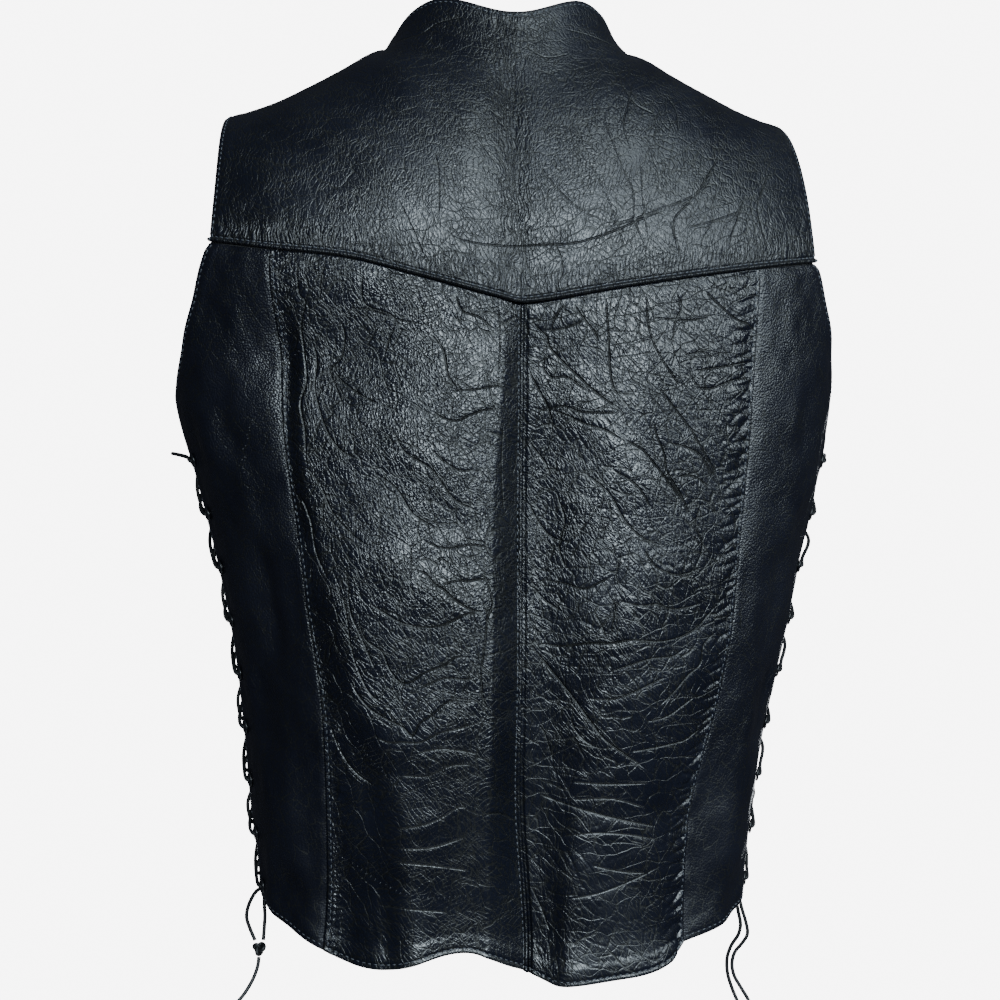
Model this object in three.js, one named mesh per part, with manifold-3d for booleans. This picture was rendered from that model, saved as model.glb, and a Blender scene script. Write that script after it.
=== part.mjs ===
// A side-laced leather vest, worn open-armed over a hollow torso form.
// Millimetres, +Z up. The back faces -Y, the closed front faces +Y and the wearer's left is -X.
// The origin lies on the shoulders, midway between the two shoulder points beside the neck.
import * as THREE from 'three';
import { mergeVertices } from 'three/addons/utils/BufferGeometryUtils.js';
import Module from 'manifold-3d';

const wasm = await Module();
wasm.setup();

// Leather and seams
const WALL = 2;
const SEAM_GAP = 0.3;
const YOKE_GAP = 0.8;
const FOLDED_EDGE_EXTRA = 0.8;

// Torso form: a rounded-square section at each height, a quarter oval from blade to shoulder ridge
const SECTION_POWER = 2.3;
const BLADE_Z = -150;
const RIDGE_LEVEL = 140;
const RIDGE_SHARE = 0.9;
const SECTIONS = [
  { z: -600, wide: 149, back: 100, front: 110, shift: -1.5 },
  { z: -525, wide: 150, back: 106, front: 107, shift: -1.5 },
  { z: -475, wide: 156, back: 110, front: 106, shift: -1.5 },
  { z: -425, wide: 162, back: 114, front: 107, shift: 0 },
  { z: -375, wide: 171, back: 117, front: 110, shift: 3 },
  { z: -325, wide: 181, back: 119, front: 114, shift: 3 },
  { z: -275, wide: 193, back: 120.5, front: 118, shift: 2.5 },
  { z: -225, wide: 204, back: 121, front: 118, shift: 0 },
  { z: -150, wide: 208, back: 118, front: 112, shift: 0 },
  { z: -60, wide: 208, back: 118, front: 110, shift: 0 },
];
const SHOULDER_RIDGE = [
  { x: 0, z: 9 },
  { x: 40, z: 5 },
  { x: 60, z: 1 },
  { x: 80, z: -8 },
  { x: 100, z: -20 },
  { x: 120, z: -31 },
  { x: 140, z: -41 },
  { x: 160, z: -48 },
  { x: 178, z: -53 },
  { x: 200, z: -57 },
];

// Folds: the valley along the spine, and the flutes that stand in and out at the back hem
const SPINE = { depth: 4, halfWidth: 26, top: -20, ease: 60 };
const FLUTES = [
  { x: -85, out: 5, halfWidth: 26 },
  { x: -31, out: -6, halfWidth: 22 },
  { x: 24, out: 6, halfWidth: 26 },
  { x: 92, out: 3, halfWidth: 24 },
];
const FLUTE_TOP_Z = -440;
const HEM_Z = -575;

// Yoke: its lower edge, its armhole edges over the shoulder, and its neck with a grown-on stand
const YOKE_EDGE = [
  { x: -190, z: -132 },
  { x: -151, z: -139 },
  { x: -101, z: -146 },
  { x: -64, z: -156 },
  { x: -15, z: -169 },
  { x: 0, z: -172 },
  { x: 60, z: -162 },
  { x: 120, z: -152 },
  { x: 190, z: -141 },
];
const ARMHOLE_BACK = [
  { level: -90, width: 206 },
  { level: -60, width: 200 },
  { level: -35, width: 191 },
  { level: 0, width: 184 },
  { level: 60, width: 183 },
  { level: 140, width: 191 },
];
const ARMHOLE_FRONT = [
  { level: -90, width: 205 },
  { level: -60, width: 199 },
  { level: -35, width: 186 },
  { level: 0, width: 175 },
  { level: 60, width: 180 },
  { level: 100, width: 186 },
  { level: 140, width: 191 },
];
const NECK = { halfWidth: 72, backReach: 92, lean: -0.25 };
const NECK_WIDTH = NECK.halfWidth / RIDGE_SHARE;
const STAND = [
  { turn: 0, rise: 26 },
  { turn: 34, rise: 28 },
  { turn: 56, rise: 18 },
  { turn: 71, rise: 8 },
  { turn: 90, rise: 0 },
];
const FRONT_DROP = { atNeck: 25, atArm: 40 };
const LEATHER_PER_LEVEL = 1.25;
const NECK_FRONT_LEVEL = 100;
const ARM_WIDTH = 186;
const ARM_BLADE_WIDTH = 184;

// Back panels: the seam between centre and side panel, and the hem
const PRINCESS_SEAM = [
  { z: -600, left: 123, right: 107 },
  { z: -555, left: 122, right: 108 },
  { z: -500, left: 120, right: 109 },
  { z: -465, left: 119, right: 111 },
  { z: -405, left: 119, right: 122 },
  { z: -345, left: 127, right: 129 },
  { z: -300, left: 134, right: 133 },
  { z: -245, left: 144, right: 138 },
  { z: -200, left: 147, right: 141 },
  { z: -130, left: 148, right: 145 },
];
const BACK_HEM = [
  { x: -150, z: -531 },
  { x: -143, z: -537 },
  { x: -135, z: -547 },
  { x: -118, z: -560 },
  { x: -100, z: -566 },
  { x: -75, z: -566 },
  { x: -31, z: -557 },
  { x: 0, z: -572 },
  { x: 22, z: -579 },
  { x: 58, z: -575 },
  { x: 97, z: -566 },
  { x: 114, z: -549 },
  { x: 130, z: -539 },
  { x: 138, z: -531 },
  { x: 150, z: -527 },
];
const LACING_AROUND = 84;
const ARMPIT_Z = -228;
const SIDE_HEM_Z = -529;

// Fronts: the V neck, the lap at the centre front, and the hem
const V_NECK = [
  { level: -90, x: -12 },
  { level: -85, x: -12 },
  { level: -50, x: 14 },
  { level: 0, x: 38 },
  { level: 60, x: 62 },
  { level: 115, x: 80 },
];
const FRONT_LAP = { past: 12, lift: 2.5, flat: 26, ease: 36, topEase: 60 };
const FRONT_HEM = [
  { x: 0, z: -556 },
  { x: 70, z: -552 },
  { x: 150, z: -529 },
];
const SNAP = { radius: 7.5, rim: 1, shoulder: 0.75, rise: 3, clear: 0.6 };
const SNAP_ROW = { firstZ: -262, pitch: 78, count: 4 };
const SNAP_SIDES = 14;

// Side lacing
const EYELET = {
  rows: 9, lowZ: -524, highZ: -262, inset: 9, hole: 2.6, bore: 2.3, flange: 4.6, rise: 0.8, clear: 0.45,
};
const EYELET_BEVEL = 0.6;
const EYELET_SIDES = 8;
const PUNCH_LENGTH = 8 * WALL;
const LACE_RADIUS = 1.1;
const LACE_SIDES = 6;
const LACE_TENSION = 0.3;
// Heights of the lace over the inner face: passing through an eyelet, over an edge, and at a crossing
const LACE_PATH = {
  under: -2.4,
  tuck: -2.2,
  over: WALL + 3,
  edge: WALL + 2.2,
  bar: WALL + 2.4,
  cross: 1,
  apart: 1.7,
};
const CORD_RADIUS = 1.2;
const CORD_SIDES = 8;
const CORD_STEP = 6;
const TOP_LOOP_OUT = { left: 9, right: 4 };

// Free lace ends, where they hang below the last eyelets (wearer's left, then right)
const LEFT_OUTER_STRAND = [
  [-148.6, -14.5, -526], [-151.5, -9, -527.5], [-155.5, -5, -530.5], [-158.6, -2.5, -535.5],
  [-161, -0.5, -542], [-161.6, 1, -548], [-159.5, 2, -555], [-156.4, 2, -562.3],
];
const LEFT_INNER_STRAND = [
  [-148.6, 14.9, -526], [-149.6, 8.5, -528.5], [-150.5, 4.5, -533.5], [-150.6, 3, -540], [-150.2, 2.6, -547],
  [-150.6, 2.3, -554], [-151.2, 2, -562.3],
];
const LEFT_KNOT = { x: -153.8, y: 2, z: -567.5, half: [4.8, 4.2, 5], around: 10, down: 7 };
const LEFT_TAIL = [
  [-154, 2, -572.9], [-154.6, 1.5, -578], [-157.5, 0.5, -586], [-163, -1, -595], [-171, -3, -604],
  [-179, -4, -615], [-183, -3, -630], [-184, -2, -645],
];
const RIGHT_OUTER_STRAND = [
  [145.6, -14.5, -526], [147.2, -9, -528.5], [148.8, -4.5, -533], [150.6, -1.5, -540], [153, 0.5, -548.5],
  [156, 2.5, -557.5], [157.4, 5, -565], [154.6, 8.5, -571.5], [150.4, 11, -577.5], [148.8, 12.5, -585],
  [150.4, 13.5, -593], [155, 14, -601], [160.5, 14, -610.5], [163.5, 13.5, -622], [164.5, 13, -636],
];
const RIGHT_INNER_STRAND = [
  [145.6, 14.9, -526], [147, 9.5, -528.8], [148.2, 6, -534], [149.6, 5, -542], [151.6, 5.5, -551],
  [153.4, 7.5, -559], [152.6, 11, -566.5], [149, 14.5, -573.5], [146.6, 16.8, -582], [147, 18, -592],
  [150, 18.6, -602], [154.4, 18.6, -613], [157, 18, -625],
];

const BLACK_LEATHER = new THREE.MeshStandardMaterial({ color: 0x14171d, roughness: 0.45, metalness: 0 });
const BLACK_LACE = new THREE.MeshStandardMaterial({ color: 0x0d0e10, roughness: 0.6, metalness: 0 });
const DARK_METAL = new THREE.MeshStandardMaterial({ color: 0x4a4b4f, roughness: 0.35, metalness: 1 });

const NORMAL_STEP = 0.004;
const group = new THREE.Group();

const mix = (a, b, share) => a + (b - a) * share;
const smooth = (share) => {
  const t = Math.min(1, Math.max(0, share));
  return t * t * (3 - 2 * t);
};
const bell = (x, halfWidth) => Math.exp(-((x / halfWidth) ** 2));

// A smooth curve through a table's rows, read at key = x, with its slopes from the neighbouring rows
function read(table, key, column, x) {
  const last = table.length - 1;
  const at = Math.min(table[last][key], Math.max(table[0][key], x));
  let i = 0;
  while (i < last - 1 && at > table[i + 1][key]) i += 1;
  const slope = (k) => {
    const a = Math.max(0, k - 1);
    const b = Math.min(last, k + 1);
    return (table[b][column] - table[a][column]) / (table[b][key] - table[a][key]);
  };
  const step = table[i + 1][key] - table[i][key];
  const u = (at - table[i][key]) / step;
  const start = table[i][column] * (1 + 2 * u) * (1 - u) ** 2 + table[i + 1][column] * u * u * (3 - 2 * u);
  return start + step * (slope(i) * u * (1 - u) ** 2 + slope(i + 1) * u * u * (u - 1));
}

// Angle from the middle of the back or front, in degrees, at which the section is x away from the middle
function aroundOf(x, z) {
  const height = Math.min(z, BLADE_Z);
  const off = x - read(SECTIONS, 'z', 'shift', height);
  const share = Math.min(1, Math.abs(off) / read(SECTIONS, 'z', 'wide', height));
  return THREE.MathUtils.radToDeg(Math.asin(share ** (SECTION_POWER / 2))) * Math.sign(off);
}

// Blade-line distance from the middle at which a column stands, from its angle
function widthOf(around) {
  const wide = read(SECTIONS, 'z', 'wide', BLADE_Z);
  return wide * Math.sin(THREE.MathUtils.degToRad(Math.abs(around))) ** (2 / SECTION_POWER);
}

// How far the back stands in (spine) or out (hem flutes) from the plain section
function foldOut(x, z) {
  const spine = bell(x, SPINE.halfWidth) * smooth((SPINE.top - z) / SPINE.ease);
  const flute = FLUTES.reduce((sum, fold) => sum + fold.out * bell(x - fold.x, fold.halfWidth), 0);
  return flute * smooth((FLUTE_TOP_Z - z) / (FLUTE_TOP_Z - HEM_Z)) - SPINE.depth * spine;
}

// Inner face of the leather. side is -1 at the back and 1 at the front; level counts millimetres
// below the blade line when negative, and runs to RIDGE_LEVEL at the shoulder ridge when positive.
function bodyPoint(side, around, level) {
  const turn = THREE.MathUtils.degToRad(around);
  const z = BLADE_Z + Math.min(0, level);
  const depth = read(SECTIONS, 'z', side < 0 ? 'back' : 'front', z);
  const power = 2 / SECTION_POWER;
  const x = read(SECTIONS, 'z', 'wide', z) * Math.abs(Math.sin(turn)) ** power * Math.sign(around)
    + read(SECTIONS, 'z', 'shift', z);
  const y = side * depth * Math.abs(Math.cos(turn)) ** power;
  const rise = (Math.PI / 2) * Math.max(0, level) / RIDGE_LEVEL;
  const ridgeX = RIDGE_SHARE * x;
  const ridgeZ = read(SHOULDER_RIDGE, 'x', 'z', Math.abs(ridgeX));
  const point = new THREE.Vector3(
    mix(ridgeX, x, Math.cos(rise)),
    y * Math.cos(rise),
    level > 0 ? BLADE_Z + (ridgeZ - BLADE_Z) * Math.sin(rise) : z,
  );
  if (side < 0) point.y -= foldOut(point.x, point.z) * Math.cos(rise);
  return point;
}

// Over the shoulder in one run of levels: up the back, past the ridge and down the front
function overPoint(width, level) {
  const around = aroundOf(width, BLADE_Z);
  if (level <= RIDGE_LEVEL) return bodyPoint(-1, around, level);
  return bodyPoint(1, around, 2 * RIDGE_LEVEL - level);
}

// Level of a point that is z high, near or below the blade line
function levelOf(x, z) {
  if (z <= BLADE_Z) return z - BLADE_Z;
  const ridgeZ = read(SHOULDER_RIDGE, 'x', 'z', Math.abs(RIDGE_SHARE * x));
  return RIDGE_LEVEL * Math.asin((z - BLADE_Z) / (ridgeZ - BLADE_Z)) / (Math.PI / 2);
}

function outwardNormal(at, u, v) {
  const across = at(Math.min(1, u + NORMAL_STEP), v).sub(at(Math.max(0, u - NORMAL_STEP), v));
  const down = at(u, Math.min(1, v + NORMAL_STEP)).sub(at(u, Math.max(0, v - NORMAL_STEP)));
  return across.cross(down).normalize();
}

// A leather wall: the inner face is at(u, v), the outer face stands its thickness off along the normal
function wall(columns, rows, at, thickness, facing) {
  const inner = [];
  const outer = [];
  for (let j = 0; j <= rows.length - 1; j += 1) {
    for (let i = 0; i <= columns.length - 1; i += 1) {
      const u = columns[i];
      const v = rows[j];
      const point = at(u, v);
      const off = outwardNormal(at, u, v).multiplyScalar(facing * thickness(u, v));
      inner.push(point);
      outer.push(point.clone().add(off));
    }
  }
  const wide = columns.length;
  const high = rows.length;
  const total = wide * high;
  const positions = [...inner, ...outer].flatMap((p) => [p.x, p.y, p.z]);
  const triangles = [];
  const quad = (a, b, c, d) => {
    if (facing > 0) triangles.push(a, b, c, a, c, d);
    else triangles.push(a, c, b, a, d, c);
  };
  for (let j = 0; j < high - 1; j += 1) {
    for (let i = 0; i < wide - 1; i += 1) {
      const a = j * wide + i;
      quad(a + total, a + 1 + total, a + wide + 1 + total, a + wide + total);
      quad(a, a + wide, a + wide + 1, a + 1);
    }
  }
  for (let i = 0; i < wide - 1; i += 1) {
    const last = (high - 1) * wide + i;
    quad(i, i + 1, i + 1 + total, i + total);
    quad(last + total, last + 1 + total, last + 1, last);
  }
  for (let j = 0; j < high - 1; j += 1) {
    const left = j * wide;
    const right = left + wide - 1;
    quad(left + total, left + wide + total, left + wide, left);
    quad(right, right + wide, right + wide + total, right + total);
  }
  const geometry = new THREE.BufferGeometry();
  geometry.setAttribute('position', new THREE.Float32BufferAttribute(positions, 3));
  geometry.setIndex(triangles);
  return geometry;
}

const evenly = (count) => Array.from({ length: count + 1 }, (_, i) => i / count);

function add(name, geometry, material) {
  const mesh = new THREE.Mesh(geometry, material);
  mesh.name = name;
  group.add(mesh);
}

function solidOf(geometry) {
  const bare = geometry.index ? geometry.clone() : geometry;
  bare.deleteAttribute('normal');
  bare.deleteAttribute('uv');
  const merged = mergeVertices(bare, 1e-4);
  return new wasm.Manifold(new wasm.Mesh({
    numProp: 3,
    vertProperties: new Float32Array(merged.attributes.position.array),
    triVerts: new Uint32Array(merged.index.array),
  }));
}

function geometryOf(solid) {
  const mesh = solid.getMesh();
  const geometry = new THREE.BufferGeometry();
  geometry.setAttribute('position', new THREE.BufferAttribute(mesh.vertProperties, 3));
  geometry.setIndex(new THREE.BufferAttribute(mesh.triVerts, 1));
  return geometry;
}

// Yoke: one piece from the back, over both shoulders, with the stand grown on at the neck
const YOKE_HALF_COLUMNS = 10;
const YOKE_CENTRE_COLUMNS = 6;
const YOKE_NECK_COLUMNS = 5;
const YOKE_ROWS = 15;
const YOKE_FOLD_ROW = 0.035;
const frontLevelAt = (width) => mix(
  RIDGE_LEVEL - FRONT_DROP.atNeck,
  RIDGE_LEVEL - FRONT_DROP.atArm,
  (Math.abs(width) - NECK_WIDTH) / (ARM_WIDTH - NECK_WIDTH),
);
const NECK_CENTRE_Y = bodyPoint(1, aroundOf(NECK_WIDTH, BLADE_Z), frontLevelAt(NECK_WIDTH)).y;

function armholeWidth(level) {
  if (level <= RIDGE_LEVEL) return read(ARMHOLE_BACK, 'level', 'width', level);
  return read(ARMHOLE_FRONT, 'level', 'width', 2 * RIDGE_LEVEL - level);
}

// Level at which the column of this width meets the neck line, an oval in plan
function neckLevel(width) {
  const share = Math.min(1, Math.abs(width) / NECK_WIDTH);
  const y = NECK_CENTRE_Y - NECK.backReach * Math.sqrt(1 - share * share);
  const side = y < 0 ? -1 : 1;
  const blade = bodyPoint(side, aroundOf(Math.abs(width), BLADE_Z), 0);
  const rise = Math.acos(Math.min(1, Math.abs(y / blade.y))) * RIDGE_LEVEL / (Math.PI / 2);
  return side < 0 ? rise : 2 * RIDGE_LEVEL - rise;
}

function yokeColumn(u) {
  const share = Math.abs(2 * u - 1) * YOKE_HALF_COLUMNS;
  const sign = Math.sign(2 * u - 1);
  const seam = sign < 0 ? PRINCESS_SEAM.at(-1).left : PRINCESS_SEAM.at(-1).right;
  const low = share <= YOKE_CENTRE_COLUMNS
    ? () => seam * share / YOKE_CENTRE_COLUMNS
    : (edge) => mix(seam, edge, (share - YOKE_CENTRE_COLUMNS) / (YOKE_HALF_COLUMNS - YOKE_CENTRE_COLUMNS));
  const turn = 90 * Math.min(1, share / YOKE_NECK_COLUMNS);
  const high = share <= YOKE_NECK_COLUMNS
    ? () => NECK_WIDTH * Math.sin(THREE.MathUtils.degToRad(turn))
    : (edge) => mix(NECK_WIDTH, edge, (share - YOKE_NECK_COLUMNS) / (YOKE_HALF_COLUMNS - YOKE_NECK_COLUMNS));
  return { sign, low, high, turn };
}

function yokePoint(u, v) {
  const { sign, low, high, turn } = yokeColumn(u);
  const lowWidth = low(armholeWidth(0));
  const start = levelOf(lowWidth, read(YOKE_EDGE, 'x', 'z', sign * lowWidth));
  const inNeck = turn < 90;
  const endGuess = high(armholeWidth(2 * RIDGE_LEVEL - NECK_FRONT_LEVEL));
  const end = inNeck ? neckLevel(endGuess) : 2 * RIDGE_LEVEL - frontLevelAt(endGuess);
  const rise = read(STAND, 'turn', 'rise', turn);
  const bodyLength = (end - start) * LEATHER_PER_LEVEL;
  const bodyShare = bodyLength / (bodyLength + rise);
  const along = Math.min(1, v / bodyShare);
  const level = mix(start, end, along);
  const edge = armholeWidth(level);
  const width = mix(low(edge), high(edge), smooth(along));
  const point = overPoint(sign * width, level);
  if (rise > 0 && v > bodyShare) {
    const up = rise * (v - bodyShare) / (1 - bodyShare);
    const aside = (point.y - NECK_CENTRE_Y) / NECK.backReach;
    const side = new THREE.Vector2(point.x / NECK.halfWidth, aside).normalize();
    point.x += side.x * NECK.lean * up;
    point.y += side.y * NECK.lean * up;
    point.z += up;
  }
  return point;
}

function addYoke() {
  const thickness = (u, v) => WALL + (v <= YOKE_FOLD_ROW ? FOLDED_EDGE_EXTRA : 0);
  const rows = [0, YOKE_FOLD_ROW, ...evenly(YOKE_ROWS).slice(1)];
  add('yoke', wall(evenly(2 * YOKE_HALF_COLUMNS), rows, yokePoint, thickness, 1), BLACK_LEATHER);
}

// Back panels
const BACK_ROWS = 20;
const SEAM_FOLD = 0.06;
const CENTRE_COLUMNS = [0, SEAM_FOLD, 0.2, 0.36, 0.52, 0.68, 0.84, 1 - SEAM_FOLD, 1];
const SEAM_FOOT_Z = -560;
const seamX = (sign, z) => sign * read(PRINCESS_SEAM, 'z', sign < 0 ? 'left' : 'right', z);
const panelTop = (x) => read(YOKE_EDGE, 'x', 'z', x) - YOKE_GAP;
const backHem = (x) => read(BACK_HEM, 'x', 'z', x);

function backPoint(x, z) {
  return bodyPoint(-1, aroundOf(x, z), levelOf(x, z));
}

function addBackPanel(sign, name) {
  const top = PRINCESS_SEAM.at(-1)[sign < 0 ? 'left' : 'right'];
  const at = (u, v) => {
    const topX = sign * mix(SEAM_GAP / 2, top, u);
    const hemX = mix(sign * SEAM_GAP / 2, seamX(sign, SEAM_FOOT_Z), u);
    const z = mix(panelTop(topX), backHem(hemX), v);
    return backPoint(mix(sign * SEAM_GAP / 2, seamX(sign, z) - sign * SEAM_GAP / 2, u), z);
  };
  const folded = (u) => (u >= 1 - SEAM_FOLD || (sign < 0 && u <= SEAM_FOLD) ? FOLDED_EDGE_EXTRA : 0);
  add(name, wall(CENTRE_COLUMNS, evenly(BACK_ROWS), at, (u) => WALL + folded(u), -sign), BLACK_LEATHER);
}

const SIDE_COLUMNS = 6;
const SIDE_ARM_ROWS = 5;

// The side panel's outer edge: round the armhole, then down the lacing edge
function sideEdge(z) {
  if (z <= ARMPIT_Z) return LACING_AROUND;
  return Math.min(LACING_AROUND, aroundOf(read(ARMHOLE_BACK, 'level', 'width', z - BLADE_Z), z));
}

function addBackSide(sign, name, edge) {
  const top = PRINCESS_SEAM.at(-1)[sign < 0 ? 'left' : 'right'];
  const at = (u, v) => {
    const innerZ = mix(panelTop(sign * top), backHem(seamX(sign, SEAM_FOOT_Z)), v);
    const armShare = SIDE_ARM_ROWS / BACK_ROWS;
    const armTop = panelTop(sign * ARM_BLADE_WIDTH);
    const outerZ = v < armShare
      ? mix(armTop, ARMPIT_Z, v / armShare)
      : mix(ARMPIT_Z, SIDE_HEM_Z, (v - armShare) / (1 - armShare));
    const straight = mix(innerZ, outerZ, u);
    const curved = panelTop(sign * mix(top, ARM_BLADE_WIDTH, u));
    const z = v < armShare ? mix(curved, straight, smooth(v / armShare)) : straight;
    const inner = aroundOf(seamX(sign, z) + sign * SEAM_GAP / 2, z);
    const around = mix(inner, sign * sideEdge(outerZ), u);
    return bodyPoint(-1, around, levelOf(sign * mix(top, ARM_BLADE_WIDTH, u), z));
  };
  const geometry = wall(evenly(SIDE_COLUMNS), evenly(BACK_ROWS), at, () => WALL, -sign);
  add(name, punched(geometry, sign, edge), BLACK_LEATHER);
}

// Fronts, closed at the centre, the wearer's left lapping over the right
const FRONT_ROWS = 26;
const V_ROWS = 10;
const FRONT_COLUMNS = 9;
const FRONT_EDGE_COLUMN = 0.04;

function frontEdge(level) {
  const z = BLADE_Z + Math.min(0, level);
  if (z <= ARMPIT_Z) return LACING_AROUND;
  return Math.min(LACING_AROUND, aroundOf(read(ARMHOLE_FRONT, 'level', 'width', level), z));
}

function addFront(sign, name, edge, lift) {
  const vShare = V_ROWS / FRONT_ROWS;
  const innerTop = frontLevelAt(NECK_WIDTH) - YOKE_GAP;
  const outerTop = frontLevelAt(ARM_WIDTH) - YOKE_GAP;
  const vLevel = V_NECK[1].level;
  const armLevel = ARMPIT_Z - BLADE_Z;
  const run = (top, corner, hem, v) => (
    v < vShare ? mix(top, corner, v / vShare) : mix(corner, hem, (v - vShare) / (1 - vShare))
  );
  const at = (u, v) => {
    const innerLevel = run(innerTop, vLevel, FRONT_HEM[0].z - BLADE_Z, v);
    const outerLevel = run(outerTop, armLevel, SIDE_HEM_Z - BLADE_Z, v);
    const hemBow = read(FRONT_HEM, 'x', 'z', FRONT_HEM.at(-1).x * u) - mix(FRONT_HEM[0].z, SIDE_HEM_Z, u);
    const topAround = mix(aroundOf(NECK_WIDTH, BLADE_Z), frontEdge(outerTop), u);
    const topBow = frontLevelAt(widthOf(topAround)) - YOKE_GAP - mix(innerTop, outerTop, u);
    const level = mix(innerLevel, outerLevel, u)
      + hemBow * smooth((v - vShare) / (1 - vShare)) + topBow * smooth(1 - v / vShare);
    const z = BLADE_Z + Math.min(0, innerLevel);
    const start = aroundOf(read(V_NECK, 'level', 'x', innerLevel), z);
    const point = bodyPoint(1, sign * mix(start, frontEdge(outerLevel), u), level);
    const away = Math.abs(point.x + sign * FRONT_LAP.past);
    const lifted = lift * (1 - smooth((away - FRONT_LAP.flat) / FRONT_LAP.ease));
    point.y += lifted * smooth(-level / FRONT_LAP.topEase);
    return point;
  };
  const columns = [0, FRONT_EDGE_COLUMN, ...evenly(FRONT_COLUMNS).slice(1)];
  const geometry = wall(columns, evenly(FRONT_ROWS), at, () => WALL, sign);
  add(name, punched(geometry, sign, edge), BLACK_LEATHER);
}

// Side lacing: a point on a lacing edge's panel, its distance in from the edge, height over the inner face
function sideFrame(sign, side, z, inset) {
  const edge = bodyPoint(side, sign * LACING_AROUND, z - BLADE_Z);
  const back = bodyPoint(side, sign * (LACING_AROUND - 1), z - BLADE_Z);
  const along = back.clone().sub(edge).normalize();
  const above = bodyPoint(side, sign * LACING_AROUND, z + 1 - BLADE_Z).sub(edge);
  const normal = along.clone().cross(above).normalize();
  if (normal.x * sign < 0) normal.negate();
  return { point: edge.addScaledVector(along, inset), normal };
}

function sidePoint(sign, side, z, inset, height) {
  const { point, normal } = sideFrame(sign, side, z, inset);
  return point.addScaledVector(normal, height);
}

function middlePoint(sign, z, height) {
  return bodyPoint(1, sign * 90, z - BLADE_Z).add(new THREE.Vector3(sign * height, 0, 0));
}

const eyeletZ = (row) => mix(EYELET.lowZ, EYELET.highZ, row / (EYELET.rows - 1));

function turnedTo(geometry, normal, point) {
  geometry.applyQuaternion(new THREE.Quaternion().setFromUnitVectors(new THREE.Vector3(0, 1, 0), normal));
  return geometry.translate(point.x, point.y, point.z);
}

// The exact place on the panel where an eyelet sits, following the section round from the edge
function eyeletFrame(sign, side, row) {
  const z = eyeletZ(row);
  let around = LACING_AROUND;
  const edge = bodyPoint(side, sign * LACING_AROUND, z - BLADE_Z);
  while (bodyPoint(side, sign * around, z - BLADE_Z).distanceTo(edge) < EYELET.inset) around -= 0.05;
  const at = (a, h) => bodyPoint(side, sign * a, h - BLADE_Z);
  const point = at(around, z);
  const across = at(around - 1, z).sub(at(around + 1, z));
  const above = at(around, z + 4).sub(at(around, z - 4));
  const normal = across.cross(above).normalize();
  if (normal.x * sign < 0) normal.negate();
  return { point, normal };
}

function punched(geometry, sign, side) {
  let solid = solidOf(geometry);
  for (let row = 0; row < EYELET.rows; row += 1) {
    const { point, normal } = eyeletFrame(sign, side, row);
    const punch = new THREE.CylinderGeometry(EYELET.hole, EYELET.hole, PUNCH_LENGTH, EYELET_SIDES);
    solid = solid.subtract(solidOf(turnedTo(punch, normal, point)));
  }
  return geometryOf(solid);
}

function addEyelets(sign, side, name) {
  const base = WALL + EYELET.clear;
  for (let row = 0; row < EYELET.rows; row += 1) {
    const { point, normal } = eyeletFrame(sign, side, row);
    const profile = [
      [EYELET.bore, base], [EYELET.flange, base], [EYELET.flange - EYELET_BEVEL, base + EYELET.rise],
      [EYELET.bore, base + EYELET.rise], [EYELET.bore, base],
    ].map(([x, y]) => new THREE.Vector2(x, y));
    const ring = new THREE.LatheGeometry(profile, EYELET_SIDES);
    add(`eyelet_${name}_${row + 1}`, turnedTo(ring, normal, point), DARK_METAL);
  }
}

// A curve that is sampled at its own points, so a bend at an eyelet stays where it is
class Route extends THREE.CatmullRomCurve3 {
  getPointAt(share) {
    return this.getPoint(share);
  }

  getTangentAt(share) {
    return this.getTangent(share);
  }
}

function roundSection(radius, sides) {
  const shape = new THREE.Shape();
  for (let i = 0; i < sides; i += 1) {
    const angle = (2 * Math.PI * i) / sides;
    const x = radius * Math.cos(angle);
    const y = radius * Math.sin(angle);
    if (i === 0) shape.moveTo(x, y);
    else shape.lineTo(x, y);
  }
  shape.closePath();
  return shape;
}

// One lace per side: up through the eyelets in zigzag, across the top, and down the other zigzag
function zigzag(sign, firstSide, overUnder) {
  const points = [];
  for (let row = 0; row < EYELET.rows; row += 1) {
    const side = row % 2 === 0 ? firstSide : -firstSide;
    const z = eyeletZ(row);
    const next = eyeletZ(row + 0.5);
    const { point, normal } = eyeletFrame(sign, side, row);
    points.push(sidePoint(sign, side, z - 2, 0.5, LACE_PATH.tuck));
    points.push(point.clone().addScaledVector(normal, LACE_PATH.under));
    points.push(point.clone().addScaledVector(normal, LACE_PATH.over));
    if (row < EYELET.rows - 1) {
      points.push(sidePoint(sign, side, z + 5, 0, LACE_PATH.edge));
      points.push(middlePoint(sign, next, LACE_PATH.cross + overUnder));
    }
  }
  return points;
}

function addLace(sign, name, loopOut) {
  const up = zigzag(sign, -1, LACE_PATH.apart);
  const down = zigzag(sign, 1, -LACE_PATH.apart).reverse();
  const topSide = EYELET.rows % 2 === 1 ? -1 : 1;
  const bar = [
    sidePoint(sign, topSide, EYELET.highZ + 3, 0, LACE_PATH.bar),
    middlePoint(sign, EYELET.highZ + 4, WALL + loopOut),
    sidePoint(sign, -topSide, EYELET.highZ + 3, 0, LACE_PATH.bar),
  ];
  const points = [...up, ...bar, ...down];
  const extrudePath = new Route(points, false, 'catmullrom', LACE_TENSION);
  const section = roundSection(LACE_RADIUS, LACE_SIDES);
  const options = { extrudePath, steps: points.length - 1, bevelEnabled: false };
  add(name, new THREE.ExtrudeGeometry(section, options), BLACK_LACE);
}

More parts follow.
